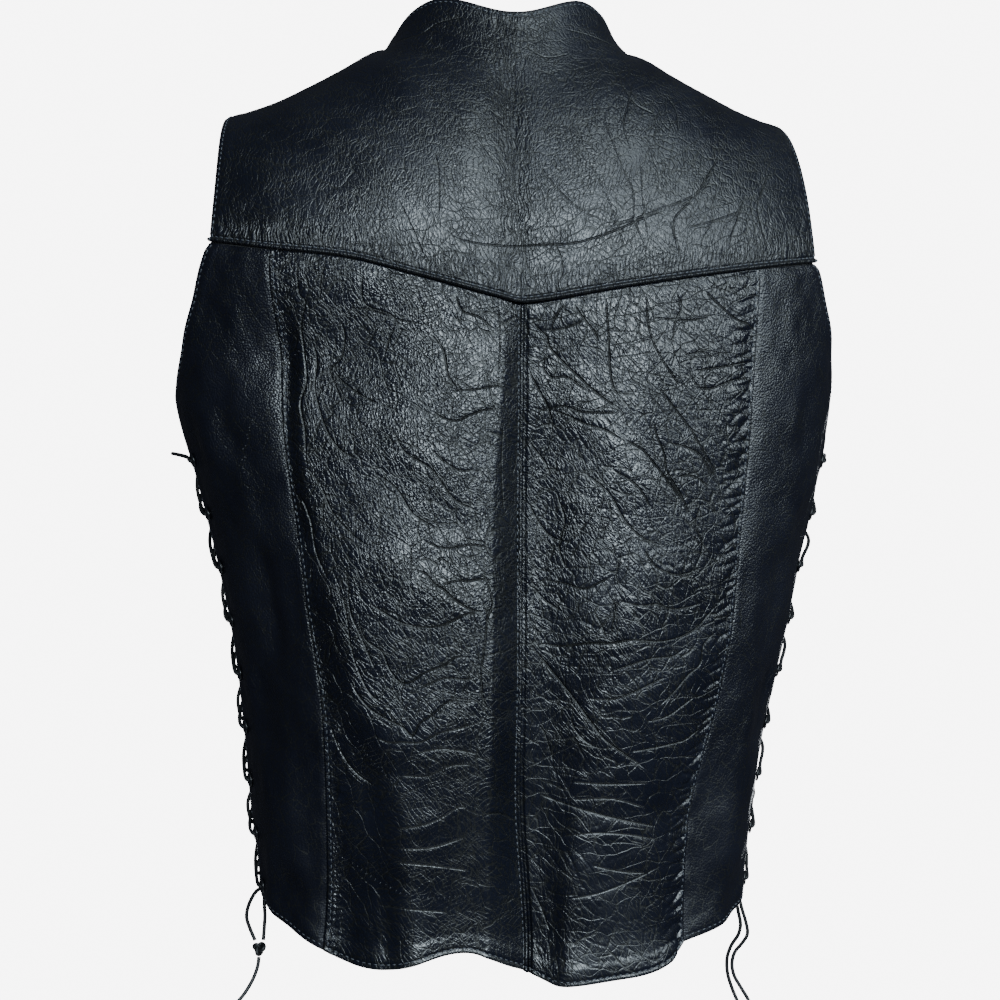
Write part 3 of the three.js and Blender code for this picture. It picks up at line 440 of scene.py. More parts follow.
def cowhide(name, pebble, sets, upright, rough=(0.22, 0.3), tint="#0e111c"):
    """Black full-grain cowhide, drum dyed and finished with a satin top coat. The eye gets a
    blue-black body, a broad shine broken up by domed pebble grain and by thin wrinkles that are
    dull at the bottom and painted near black there as painted shade. pebble is (size, height) and each set of
    wrinkles is (length, spacing, slope in degrees, depth), in millimetres on the piece's own surface; upright
    is the depth of the fine wrinkles that stand beside seams."""
    material, tree = new_material(name)
    flat = add_node(tree, "ShaderNodeAttribute", attribute_name="surface_mm").outputs["Vector"]
    drift = add_node(tree, "ShaderNodeTexNoise", {"Vector": flat, "Scale": 1 / LINE_DRIFT, "Detail": 1})
    centred = add_node(tree, "ShaderNodeVectorMath", {0: drift.outputs["Color"], 1: (0.5, 0.5, 0.5)},
                       operation="SUBTRACT")
    pushed = add_node(tree, "ShaderNodeVectorMath", {0: centred.outputs[0], "Scale": LINE_PUSH},
                      operation="SCALE")
    bent = add_node(tree, "ShaderNodeVectorMath", {0: flat, 1: pushed.outputs[0]}, operation="ADD").outputs[0]

    def grooves(long, short, slope, width):
        """Thin lines along the walls between drawn-out cells: 1 in the line, 0 on the cell."""
        where = add_node(
            tree, "ShaderNodeMapping",
            {"Vector": bent, "Rotation": (0, 0, math.radians(slope)), "Scale": (long, short, 1)},
            vector_type="TEXTURE",
        ).outputs[0]
        edge = add_node(tree, "ShaderNodeTexVoronoi", {"Vector": where, "Scale": 1.0},
                        feature="DISTANCE_TO_EDGE", voronoi_dimensions="2D")
        return remap(tree, edge.outputs["Distance"], 0.0, width / short, 1.0, 0.0)

    # Heights to add up, and how much each line dulls and is painted darker as painted shade
    heights, lines = [], []
    for number, (long, short, slope, deep) in enumerate(sets):
        patch = {"Vector": bent, "Scale": 1 / (LINE_PATCH[0] + LINE_PATCH[1] * number), "W": number}
        place = add_node(tree, "ShaderNodeTexNoise", patch, noise_dimensions="4D").outputs["Fac"]
        line = times(tree, grooves(long, short, slope, LINE_HALF), remap(tree, place, 0.36, 0.6, 0.35, 1.0))
        heights.append((line, -deep))
        lines.append((line, 0.8))
    crease = add_node(tree, "ShaderNodeAttribute", attribute_name="crease_line").outputs["Vector"]
    crease = add_node(tree, "ShaderNodeSeparateXYZ", {"Vector": crease}).outputs
    off = add_node(tree, "ShaderNodeMath", {0: crease["X"]}, operation="ABSOLUTE").outputs[0]
    sharp = times(tree, remap(tree, off, 0.0, CREASE_HALF, 1.0, 0.0), crease["Y"])
    way = add_node(tree, "ShaderNodeAttribute", attribute_name="wrinkle_way").outputs["Fac"]
    fine = times(tree, grooves(*UPRIGHT_CELL, 90, UPRIGHT_HALF), way)
    size, domed = pebble
    dome = add_node(tree, "ShaderNodeTexVoronoi", {"Vector": flat, "Scale": 1 / size, "Smoothness": 0.35},
                    feature="SMOOTH_F1", voronoi_dimensions="2D")
    pores = add_node(tree, "ShaderNodeTexNoise", {"Vector": flat, "Scale": 1 / PORE, "Detail": 2})
    heights += [(sharp, -1.0), (fine, -upright)]
    heights += [(dome.outputs["Distance"], -domed), (pores.outputs["Fac"], PORE_DEPTH)]
    lines += [(sharp, 1.6), (fine, 0.5)]
    normal = bumped(tree, times(tree, sums(tree, *heights), crease["Z"]), 1.0, 1.0)
    groove_dulling_and_painted_shade = sums(tree, *lines)
    patches = add_node(tree, "ShaderNodeTexNoise", {"Vector": flat, "Scale": 1 / DYE_PATCH, "Detail": 3})
    dye = blend_colours(tree, patches.outputs["Fac"], linear("#090a10"), linear(tint))
    # Base colour drawn to near black along the wrinkle and crease lines: painted shade in the grooves
    shade = blend_colours(tree, remap(tree, groove_dulling_and_painted_shade, 0.0, 1.0, 0.0, 1.0), dye, linear("#050607"))
    worn = remap(tree, patches.outputs["Fac"], 0.35, 0.65, rough[0], rough[1])
    dull = sums(tree, (worn, 1.0), (remap(tree, groove_dulling_and_painted_shade, 0.2, 1.0, 0.0, LINE_DULLING), 1.0))
    finish_material(tree, {"Base Color": shade, "Roughness": dull, "Normal": normal})
    return material


def flesh_side():
    """The unlined inner side of the hide, split and drum dyed: a matt charcoal nap."""
    material, tree = new_material("dyed_split_inner_side")
    finish_material(tree, {
        "Base Color": blend_colours(tree, spots(tree, 30.0, 2), linear("#1c1c1e"), linear("#2a2a2c")),
        "Roughness": 0.9, "Sheen Weight": 0.25, "Sheen Roughness": 0.5,
        "Normal": bumped(tree, spots(tree, 900.0, 3), 0.6, 0.3),
    })
    return material


def bonded_thread():
    """Black bonded nylon sewing thread: a little glossier and greyer than the hide, with twisted ply bands in
    its bump and colour; the lighter grey of the bands is a painted highlight for the thread's glints, the
    darker grey its own colour.
    """
    material, tree = new_material("black_bonded_nylon_thread")
    place = add_node(tree, "ShaderNodeTexCoord").outputs["Object"]
    twist_and_painted_glints = add_node(tree, "ShaderNodeTexWave", {"Vector": place, "Scale": 700.0, "Distortion": 1.5},
                     bands_direction="DIAGONAL").outputs["Fac"]
    finish_material(tree, {
        # Ply bands in colour: the lighter grey is a painted highlight for the thread's glints, the darker
        # grey the thread's own colour
        "Base Color": blend_colours(tree, twist_and_painted_glints, linear("#222429"), linear("#4a4e56")),
        "Roughness": 0.38, "IOR": 1.53, "Normal": bumped(tree, twist_and_painted_glints, 0.5, 0.1),
    })
    return material


def rolled_thong():
    """Rolled leather thong, dyed through: matt black with fine lengthwise cracks and rubbed spots."""
    material, tree = new_material("rolled_leather_thong")
    rub = spots(tree, 120.0, 2)
    finish_material(tree, {
        "Base Color": blend_colours(tree, rub, linear("#08090a"), linear("#15171a")),
        "Roughness": remap(tree, rub, 0.3, 0.7, 0.42, 0.62),
        "Normal": bumped(tree, spots(tree, 1400.0, 3), 0.6, 0.2),
    })
    return material


def enamelled_brass(name, rough):
    """Brass stamping in black stoved enamel: a hard gloss, rubbed to warm metal at raised edges."""
    material, tree = new_material(name)
    scuff = spots(tree, 500.0, 4)
    edge = add_node(tree, "ShaderNodeNewGeometry").outputs["Pointiness"]
    patchy = times(tree, remap(tree, edge, 0.53, 0.6, 0.0, 1.0), scuff)
    worn = remap(tree, patchy, 0.3, 0.6, 0.0, 1.0)
    finish_material(tree, {
        "Base Color": blend_colours(tree, worn, linear("#101114"), linear("#8d8066")),
        "Metallic": worn, "Roughness": rough, "Normal": bumped(tree, scuff, 0.2, 0.1),
    })
    return material


def studio_paper():
    """Seamless studio paper, pale and matt, with a faint tooth."""
    material, tree = new_material("seamless_paper")
    tooth = bumped(tree, spots(tree, 400.0, 2), 0.1, 0.2)
    finish_material(tree, {"Base Color": linear("#dcdbd9"), "Roughness": 0.9, "Normal": tooth})
    return material


# Curves and fields, all as whole arrays

def unit(vectors):
    """Vectors over their own lengths."""
    return vectors / np.linalg.norm(vectors, axis=-1, keepdims=True)


def turns_of(count):
    """Angles of so many even steps round a circle."""
    return 2 * np.pi * np.arange(count) / count


def mix(a, b, share):
    """From a to b by a share."""
    return a + (b - a) * share


def smooth(share):
    """Eased step: 3t^2 - 2t^3 of a share held between 0 and 1."""
    t = np.clip(share, 0, 1)
    return t * t * (3 - 2 * t)


def bell(x, half_width):
    """e to the power of minus (x / half width) squared."""
    return np.exp(-((x / half_width) ** 2))


def read(table, x, column=1):
    """Cubic Hermite curve through a table's rows, its slopes taken from the neighbouring rows and
    its ends held."""
    key, value = table[:, 0], table[:, column]
    last = len(key) - 1
    before = np.maximum(np.arange(last + 1) - 1, 0)
    after = np.minimum(np.arange(last + 1) + 1, last)
    slope = (value[after] - value[before]) / (key[after] - key[before])
    at = np.clip(x, key[0], key[-1])
    i = np.clip(np.searchsorted(key, at) - 1, 0, last - 1)
    step = key[i + 1] - key[i]
    u = (at - key[i]) / step
    start = value[i] * (1 + 2 * u) * (1 - u) ** 2 + value[i + 1] * u * u * (3 - 2 * u)
    return start + step * (slope[i] * u * (1 - u) ** 2 + slope[i + 1] * u * u * (u - 1))


LATTICE = np.random.default_rng(41).random((3, 64, 64))


def noise(x, y, layer=0):
    """Smooth noise from 0 to 1: random heights on unit squares, eased between their corners."""
    table = LATTICE[layer % 3]
    x, y = np.broadcast_arrays(x, y)
    i, j = np.floor(x).astype(int), np.floor(y).astype(int)
    u, v = smooth(x - i), smooth(y - j)
    low = mix(table[j % 64, i % 64], table[j % 64, (i + 1) % 64], u)
    high = mix(table[(j + 1) % 64, i % 64], table[(j + 1) % 64, (i + 1) % 64], u)
    return mix(low, high, v)


def cell_edge(x, y, size, layer=0):
    """Millimetres to the wall between cells: the distance to the second nearest of a set of
    scattered points less that to the nearest. One point lies at random in each square."""
    gx, gy = np.broadcast_arrays(x / size, y / size)
    i, j = np.floor(gx).astype(int), np.floor(gy).astype(int)
    first = np.full(gx.shape, 9.0)
    second = np.full(gx.shape, 9.0)
    for di in (-1, 0, 1):
        for dj in (-1, 0, 1):
            ci, cj = i + di, j + dj
            px = ci + LATTICE[layer % 3][cj % 64, ci % 64]
            py = cj + LATTICE[(layer + 1) % 3][cj % 64, ci % 64]
            away = np.hypot(gx - px, gy - py)
            second = np.minimum(second, np.maximum(first, away))
            first = np.minimum(first, away)
    return (second - first) * size


def spline(points, step, centripetal=True, tension=0.3):
    """Catmull-Rom curve through points, sampled about every step: Hermite spans whose tangents
    come from the neighbouring points, with spans weighted by the root of their length, or plain
    with a tension."""
    p = np.asarray(points, float)
    p = np.vstack([2 * p[0] - p[1], p, 2 * p[-1] - p[-2]])
    out = []
    for k in range(1, len(p) - 2):
        p0, p1, p2, p3 = p[k - 1:k + 3]
        if centripetal:
            d0, d1, d2 = (max(np.linalg.norm(b - a) ** 0.5, 1e-4) for a, b in ((p0, p1), (p1, p2), (p2, p3)))
            t1 = ((p1 - p0) / d0 - (p2 - p0) / (d0 + d1) + (p2 - p1) / d1) * d1
            t2 = ((p2 - p1) / d1 - (p3 - p1) / (d1 + d2) + (p3 - p2) / d2) * d1
        else:
            t1, t2 = tension * (p2 - p0), tension * (p3 - p1)
        count = max(2, int(math.ceil(np.linalg.norm(p2 - p1) / step)))
        t = np.arange(count)[:, None] / count
        out.append(p1 * (1 + 2 * t) * (1 - t) ** 2 + p2 * t * t * (3 - 2 * t)
                   + t1 * t * (1 - t) ** 2 + t2 * t * t * (t - 1))
    out.append(p[-2][None])
    return np.vstack(out)


def lengths_along(points):
    """Distance run along a polyline, from its start."""
    return np.concatenate([[0.0], np.cumsum(np.linalg.norm(np.diff(points, axis=0), axis=1))])


# The torso form

def fold_out(x, z):
    """Valley along the spine and flutes at the hem: bells across, eased in with height."""
    spine = bell(x, SPINE["half_width"]) * smooth((SPINE["top"] - z) / SPINE["ease"])
    flute = sum(out * bell(x - at, half) for at, out, half in FLUTES)
    return flute * smooth((FLUTE_TOP_Z - z) / (FLUTE_TOP_Z - HEM_Z)) - SPINE["depth"] * spine


def body_point(side, around, level):
    """Inner face of the leather: a rounded-square section (powers of 2.3) of the height's width
    and depth, pulled in on a quarter oval above the blade line, and folded at the back."""
    around, level = np.broadcast_arrays(np.asarray(around, float), np.asarray(level, float))
    turn = np.radians(around)
    z = BLADE_Z + np.minimum(0, level)
    depth = read(SECTIONS, z, 2 if side < 0 else 3)
    power = 2 / SECTION_POWER
    x = read(SECTIONS, z, 1) * np.abs(np.sin(turn)) ** power * np.sign(around) + read(SECTIONS, z, 4)
    y = side * depth * np.abs(np.cos(turn)) ** power
    rise = (np.pi / 2) * np.maximum(0, level) / RIDGE_LEVEL
    ridge_x = RIDGE_SHARE * x
    ridge_z = read(SHOULDER_RIDGE, np.abs(ridge_x))
    px = mix(ridge_x, x, np.cos(rise))
    py = y * np.cos(rise)
    pz = np.where(level > 0, BLADE_Z + (ridge_z - BLADE_Z) * np.sin(rise), z)
    if side < 0:
        py = py - fold_out(px, pz) * np.cos(rise)
    return np.stack([px, py, pz], -1)


def around_of(x, z):
    """Angle on the section at which it is x from the middle: the inverse of the section."""
    height = np.minimum(z, BLADE_Z)
    off = x - read(SECTIONS, height, 4)
    share = np.minimum(1, np.abs(off) / read(SECTIONS, height, 1))
    return np.degrees(np.arcsin(share ** (SECTION_POWER / 2))) * np.sign(off)


def width_of(around):
    """Distance from the middle, at blade height, of an angle on the section."""
    wide = read(SECTIONS, BLADE_Z, 1)
    return wide * np.sin(np.radians(np.abs(around))) ** (2 / SECTION_POWER)


def level_of(x, z):
    """Height turned to level: plain below the blade line, the oval's arc sine above it."""
    ridge_z = read(SHOULDER_RIDGE, np.abs(RIDGE_SHARE * x))
    share = np.clip((z - BLADE_Z) / (ridge_z - BLADE_Z), 0, 1)
    return np.where(z <= BLADE_Z, z - BLADE_Z, RIDGE_LEVEL * np.arcsin(share) / (np.pi / 2))


def over_point(width, level):
    """Up the back, past the ridge and down the front in one run of levels."""
    around = around_of(width, BLADE_Z)
    behind = body_point(-1, around, np.minimum(level, RIDGE_LEVEL))
    before = body_point(1, around, np.minimum(2 * RIDGE_LEVEL - level, RIDGE_LEVEL))
    return np.where((level <= RIDGE_LEVEL)[..., None], behind, before)


# Cut lines

def armhole_width(level):
    """The armhole's line, up the back and down the front."""
    before = read(ARMHOLE_FRONT, 2 * RIDGE_LEVEL - level)
    return np.where(level <= RIDGE_LEVEL, read(ARMHOLE_BACK, level), before)


def front_level_at(width):
    """Level of the seam in front of the shoulder: straight from the neck to the armhole."""
    share = (np.abs(width) - NECK_WIDTH) / (ARM_WIDTH - NECK_WIDTH)
    return mix(RIDGE_LEVEL - FRONT_DROP[0], RIDGE_LEVEL - FRONT_DROP[1], share)


NECK_CENTRE_Y = float(body_point(1, around_of(NECK_WIDTH, BLADE_Z), front_level_at(NECK_WIDTH))[..., 1])


def neck_level(width):
    """Level at which a column meets the neck line, an oval in plan."""
    share = np.minimum(1, np.abs(width) / NECK_WIDTH)
    y = NECK_CENTRE_Y - NECK_BACK_REACH * np.sqrt(1 - share * share)
    around = around_of(np.abs(width), BLADE_Z)
    blade_y = np.where(y < 0, body_point(-1, around, 0)[..., 1], body_point(1, around, 0)[..., 1])
    rise = np.arccos(np.minimum(1, np.abs(y / blade_y))) * RIDGE_LEVEL / (np.pi / 2)
    return np.where(y < 0, rise, 2 * RIDGE_LEVEL - rise)


def seam_x(sign, z):
    """The princess seam's line."""
    return sign * read(PRINCESS_SEAM, z, 1 if sign < 0 else 2)


def panel_top(x):
    """Top edge of the back panels, a gap below the yoke's edge."""
    return read(YOKE_EDGE, x) - YOKE_GAP


def seam_top(sign):
    """Distance from the middle at which the princess seam meets the yoke."""
    return PRINCESS_SEAM[-1, 1 if sign < 0 else 2]


def back_point(x, z):
    """The back surface at an x and z."""
    return body_point(-1, around_of(x, z), level_of(x, z))


# The pieces' body surfaces, each a function of two shares

YOKE_HALF = 10.0
YOKE_CENTRE = 6.0
YOKE_NECK = 5.0
YOKE_LENGTH_SHARE = 1.25
YOKE_SOFTENING = 260
NECK_GUESS_DOWN = 100


def yoke_point(u, v):
    """From the lower edge up the back and over both shoulders; columns spread from the seam points
    to the neck and armhole, and at the neck the last rows rise and lean in as the stand."""
    share = np.abs(2 * u - 1) * YOKE_HALF
    sign = np.where(u < 0.5, -1.0, 1.0)
    seam = np.where(u < 0.5, seam_top(-1), seam_top(1))
    turn = 90 * np.minimum(1, share / YOKE_NECK)

    def low(edge):
        """Distance from the middle on the lower edge: even to the seam, then even to the armhole."""
        outer = mix(seam, edge, (share - YOKE_CENTRE) / (YOKE_HALF - YOKE_CENTRE))
        return np.where(share <= YOKE_CENTRE, seam * share / YOKE_CENTRE, outer)

    def high(edge):
        """The same at the top: round the neck by its angle, then even to the armhole."""
        outer = mix(NECK_WIDTH, edge, (share - YOKE_NECK) / (YOKE_HALF - YOKE_NECK))
        return np.where(share <= YOKE_NECK, NECK_WIDTH * np.sin(np.radians(turn)), outer)

    low_width = low(armhole_width(np.zeros_like(share)))
    start = level_of(low_width, read(YOKE_EDGE, sign * low_width))
    guess = high(armhole_width(np.full_like(share, 2 * RIDGE_LEVEL - NECK_GUESS_DOWN)))
    end = np.where(turn < 90, neck_level(guess), 2 * RIDGE_LEVEL - front_level_at(guess))
    rise = read(STAND, turn)
    length = (end - start) * YOKE_LENGTH_SHARE
    body_share = length / (length + rise)
    along = np.minimum(1, v / body_share)
    level = mix(start, end, along)
    edge = armhole_width(level)
    width = mix(low(edge), high(edge), smooth(along))
    point = over_point(sign * width, level)
    up = rise * np.maximum(0, v - body_share) / np.maximum(1 - body_share, 1e-6)
    from_centre = (point[..., 1] - NECK_CENTRE_Y) / NECK_BACK_REACH
    side = unit(np.stack([point[..., 0] / NECK_HALF_WIDTH, from_centre], -1))
    point[..., 0] += side[..., 0] * STAND_LEAN * up
    point[..., 1] += side[..., 1] * STAND_LEAN * up
    point[..., 2] += up
    return point


def yoke_surface(u, v):
    """The yoke's grid with the fold at the foot of the stand rounded: each point of the neck's
    columns moves half way to the middle of its neighbours above and below, many times over."""
    points = yoke_point(u, v)
    share = np.abs(2 * u[1:-1, :, None] - 1) * YOKE_HALF
    weight = 0.5 * smooth((YOKE_NECK + 0.4 - share) / 1.2) * smooth((v[1:-1, :, None] - 0.35) / 0.2)
    for _ in range(YOKE_SOFTENING):
        middle = (points[:-2] + points[2:]) / 2
        points[1:-1] += weight * (middle - points[1:-1])
    return points


def centre_point(sign, u, v):
    """Centre back panel: x from the centre seam to the princess seam, z from the yoke to the hem."""
    top_x = sign * mix(SEAM_GAP / 2, seam_top(sign), u)
    hem_x = mix(sign * SEAM_GAP / 2, seam_x(sign, SEAM_HEM_Z), u)
    z = mix(panel_top(top_x), read(BACK_HEM, hem_x), v)
    x = mix(sign * SEAM_GAP / 2, seam_x(sign, z) - sign * SEAM_GAP / 2, u)
    return back_point(x, z)


SIDE_ARM_SHARE = 5 / 20


def side_edge(z):
    """Angle of a side panel's outer edge: the armhole's, then the lacing edge's."""
    arm = np.minimum(LACING_AROUND, around_of(read(ARMHOLE_BACK, z - BLADE_Z), z))
    return np.where(z <= ARMPIT_Z, LACING_AROUND, arm)


def side_point(sign, u, v):
    """Side back panel: from the princess seam round to the armhole, then the lacing edge."""
    top = seam_top(sign)
    inner_z = mix(panel_top(sign * top), read(BACK_HEM, seam_x(sign, SEAM_HEM_Z)), v)
    arm_top = panel_top(sign * ARM_BLADE_WIDTH)
    outer_z = np.where(
        v < SIDE_ARM_SHARE, mix(arm_top, ARMPIT_Z, v / SIDE_ARM_SHARE),
        mix(ARMPIT_Z, SIDE_HEM_Z, (v - SIDE_ARM_SHARE) / (1 - SIDE_ARM_SHARE)),
    )
    across = mix(top, ARM_BLADE_WIDTH, u)
    straight = mix(inner_z, outer_z, u)
    curved = panel_top(sign * across)
    z = np.where(v < SIDE_ARM_SHARE, mix(curved, straight, smooth(v / SIDE_ARM_SHARE)), straight)
    inner = around_of(seam_x(sign, z) + sign * SEAM_GAP / 2, z)
    return body_point(-1, mix(inner, sign * side_edge(outer_z), u), level_of(sign * across, z))


V_SHARE = 10 / 26


def front_edge(level):
    """Angle of a front's outer edge: the armhole's, then the lacing edge's."""
    z = BLADE_Z + np.minimum(0, level)
    arm = np.minimum(LACING_AROUND, around_of(read(ARMHOLE_FRONT, level), z))
    return np.where(z <= ARMPIT_Z, LACING_AROUND, arm)


def front_point(sign, lift, u, v):
    """Front: from the V neck and the lapped centre edge round to the armhole and lacing edge."""
    inner_top = front_level_at(NECK_WIDTH) - YOKE_GAP
    outer_top = front_level_at(ARM_WIDTH) - YOKE_GAP
    v_level = V_NECK[1, 0]

    def run(top, corner, hem):
        """Two even runs down a side edge, from its top to a corner and on to the hem."""
        lower = mix(corner, hem, (v - V_SHARE) / (1 - V_SHARE))
        return np.where(v < V_SHARE, mix(top, corner, v / V_SHARE), lower)

    inner_level = run(inner_top, v_level, FRONT_HEM[0, 1] - BLADE_Z)
    outer_level = run(outer_top, ARMPIT_Z - BLADE_Z, SIDE_HEM_Z - BLADE_Z)
    hem_bow = read(FRONT_HEM, 150 * u) - mix(FRONT_HEM[0, 1], SIDE_HEM_Z, u)
    top_around = mix(around_of(NECK_WIDTH, BLADE_Z), front_edge(outer_top), u)
    top_bow = front_level_at(width_of(top_around)) - YOKE_GAP - mix(inner_top, outer_top, u)
    level = (mix(inner_level, outer_level, u) + hem_bow * smooth((v - V_SHARE) / (1 - V_SHARE))
             + top_bow * smooth(1 - v / V_SHARE))
    z = BLADE_Z + np.minimum(0, inner_level)
    start = around_of(read(V_NECK, inner_level), z)
    point = body_point(1, sign * mix(start, front_edge(outer_level), u), level)
    away = np.abs(point[..., 0] + sign * LAP_PAST)
    point[..., 1] += lift * (1 - smooth((away - LAP_FLAT) / LAP_EASE)) * smooth(-level / LAP_START)
    return point


# Building a leather piece: body grid, drape of both faces, relief of the outer face

def shares(*stops):
    """Shares from 0 to 1 with a number of steps up to each stop, given as (stop, steps)."""
    out, start = [np.zeros(1)], 0.0
    for stop, steps in stops:
        out.append(start + (stop - start) * np.arange(1, steps + 1) / steps)
        start = stop
    return np.concatenate(out)


def grid_normals(points, facing):
    """Unit cross product of the two directions of a grid of points."""
    across = np.gradient(points, axis=1)
    down = np.gradient(points, axis=0)
    normal = np.cross(across, down) * facing
    return normal / np.maximum(np.linalg.norm(normal, axis=-1, keepdims=True), 1e-9)


def edge_distances(points):
    """Millimetres run along the surface from each side of a grid: left, right, first and last row."""
    across = np.linalg.norm(np.diff(points, axis=1), axis=-1)
    down = np.linalg.norm(np.diff(points, axis=0), axis=-1)
    left = np.pad(np.cumsum(across, axis=1), ((0, 0), (1, 0)))
    first = np.pad(np.cumsum(down, axis=0), ((1, 0), (0, 0)))
    return left, left[:, -1:] - left, first, first[-1:] - first


def put_mesh(name, points, faces, materials, face_material=None):
    """A mesh from millimetre points and an array of faces with equal corner counts."""
    mesh = bpy.data.meshes.new(name)
    mesh.vertices.add(len(points))
    mesh.vertices.foreach_set("co", (np.asarray(points) * MM).astype(np.float32).ravel())
    mesh.loops.add(faces.size)
    mesh.loops.foreach_set("vertex_index", faces.astype(np.int32).ravel())
    mesh.polygons.add(len(faces))
    mesh.polygons.foreach_set("loop_start", (np.arange(len(faces)) * faces.shape[1]).astype(np.int32))
    for material in materials:
        mesh.materials.append(material)
    if face_material is not None:
        mesh.polygons.foreach_set("material_index", face_material.astype(np.int32))
    mesh.update(calc_edges=True)
    mesh.shade_smooth()
    return put_object(name, mesh)


def kept(count, step):
    """Every step-th index of a row of points, and the last."""
    return np.unique(np.append(np.arange(0, count, step), count - 1))


def shell_faces(high, wide, rows, columns, facing):
    """Triangles of a closed wall: the outer grid, the coarser inner grid of the kept rows and
    columns turned round, and four rims that fan from each inner edge point to the outer ones."""
    outer = np.arange(high * wide).reshape(high, wide)
    inner = high * wide + np.arange(len(rows) * len(columns)).reshape(len(rows), len(columns))

    def halves(grid):
        """Two triangles to each cell of a grid."""
        a, b, c, d = grid[:-1, :-1], grid[:-1, 1:], grid[1:, 1:], grid[1:, :-1]
        return np.concatenate([np.stack(corners, -1).reshape(-1, 3) for corners in ([a, b, c], [a, c, d])])

    def rim(fine, coarse, at):
        """Fans from a coarse edge to a fine one, whose kept points are at these places."""
        cell = np.searchsorted(at, np.arange(len(fine) - 1), "right") - 1
        fans = np.stack([coarse[cell], fine[1:], fine[:-1]], -1)
        ends = np.stack([coarse[:-1], coarse[1:], fine[at[1:]]], -1)
        return np.concatenate([fans, ends])

    faces = [
        halves(outer), halves(inner)[:, ::-1],
        rim(outer[0], inner[0], columns), rim(outer[-1], inner[-1], columns)[:, ::-1],
        rim(outer[:, 0], inner[:, 0], rows)[:, ::-1], rim(outer[:, -1], inner[:, -1], rows),
    ]
    kind = np.concatenate([np.full(len(f), int(k == 1)) for k, f in enumerate(faces)])
    faces = np.concatenate(faces)
    return (faces[:, ::-1] if facing < 0 else faces), kind


# Seam allowance hidden under the next piece: run out from the edge, and depths of its two faces
TUCK_RUNS = (6.0, 0.5)
TUCK_TOP = -0.4
TUCK_UNDER = -1.9


def tuck_under(outer, inner, normal, side):
    """Adds two rows or columns that run on from a side, sunk below the piece that laps over it."""
    if side == "left":
        flipped = tuck_under(outer.swapaxes(0, 1), inner.swapaxes(0, 1), normal.swapaxes(0, 1), "top")
        return flipped[0].swapaxes(0, 1), flipped[1].swapaxes(0, 1)
    away = unit(inner[0] - inner[max(1, len(inner) // 12)])
    up = normal[0]
    if len(up) < len(away):
        up = np.concatenate([up[:1]] * (len(away) - len(up)) + [up])
    rows = [inner[0] + away * run for run in TUCK_RUNS]
    return (np.concatenate([[row + up * TUCK_TOP for row in rows], outer]),
            np.concatenate([[row + up * TUCK_UNDER for row in rows], inner]))


def widen(field, tuck):
    """Repeats a field's first row or column over the added ones."""
    for side in tuck:
        axis = 0 if side == "top" else 1
        first = np.take(field, [0, 0], axis=axis)
        field = np.concatenate([first, field], axis=axis)
    return field


# Thinnest that a dent may leave the leather, and how the grain grows shallow towards the hem
THINNEST = 0.5
SHALLOW_FROM = -390
SHALLOW_RUN = 90
SHALLOW_SHARE = 0.55


class Panel:
    """One leather piece: its grid of body points, its normals and its outer face. Its attributes
    are the place of the grain, the way of the fine wrinkles, and the crease line: the distance to
    the nearest placed crease, the depth there, and the depth of the grain, less near the hem."""

    def __init__(self, name, at, columns, rows, facing, drape, relief, hide, way, place, tuck=(), coarse=3):
        """The drape moves both faces along the normal, the relief lifts the outer one off the wall."""
        body = at(*np.meshgrid(columns, rows))
        body = body + grid_normals(body, facing) * drape(body)[..., None]
        self.body = body
        self.normal = grid_normals(body, facing)
        self.edges = edge_distances(body)
        self.lines = np.zeros(body.shape)
        rise = WALL + np.maximum(relief(self), THINNEST - WALL)
        self.lines[..., 2] = 1 - SHALLOW_SHARE * smooth((SHALLOW_FROM - body[..., 2]) / SHALLOW_RUN)
        self.outer = body + self.normal * rise[..., None]
        self.skin_normal = grid_normals(self.outer, facing)
        outer, inner = self.outer, body
        for side in tuck:
            outer, inner = tuck_under(outer, inner, self.normal, side)
        inner_at = np.ix_(kept(outer.shape[0], coarse), kept(outer.shape[1], coarse))
        faces, kind = shell_faces(*outer.shape[:2], inner_at[0].ravel(), inner_at[1].ravel(), facing)

        def both(on_outer, on_inner):
            """Values on the outer face, then those on the kept points of the inner one."""
            size = on_outer.shape[2:]
            return np.concatenate([on_outer.reshape(-1, *size), on_inner[inner_at].reshape(-1, *size)])

        self.piece = put_mesh(name, both(outer, inner), faces, [hide, INNER_SIDE], kind)
        for attribute, sort, key, field in (
            ("wrinkle_way", "FLOAT", "value", np.clip(way(body), 0, 1)),
            ("surface_mm", "FLOAT_VECTOR", "vector", place(self)),
            ("crease_line", "FLOAT_VECTOR", "vector", self.lines),
        ):
            field = widen(field, tuck)
            data = self.piece.data.attributes.new(attribute, sort, "POINT").data
            data.foreach_set(key, both(field, field).astype(np.float32).ravel())

    def line(self, edge, inset):
        """Polyline on the outer face at a distance in from one side of the grid, with its normals."""
        run, fields = self.edges[edge], (self.outer, self.skin_normal)
        if edge > 1:
            run, fields = run.T, [field.swapaxes(0, 1) for field in fields]
        out = []
        for field in fields:
            order = slice(None) if run[0, 0] < run[0, -1] else slice(None, None, -1)
            out.append(np.array([
                [np.interp(inset, d[order], p[order, i]) for i in range(3)] for d, p in zip(run, field)
            ]))
        return out


# Reach of the sharp line to either side of a listed crease, and the share that is a soft trough
LINE_REACH = 2.6
SOFT_SHARE = 0.4
# Folded edges: how the fold thins out, and how deep the stitches sink
FOLD_EASE = 4
STITCH_SINK = 0.45


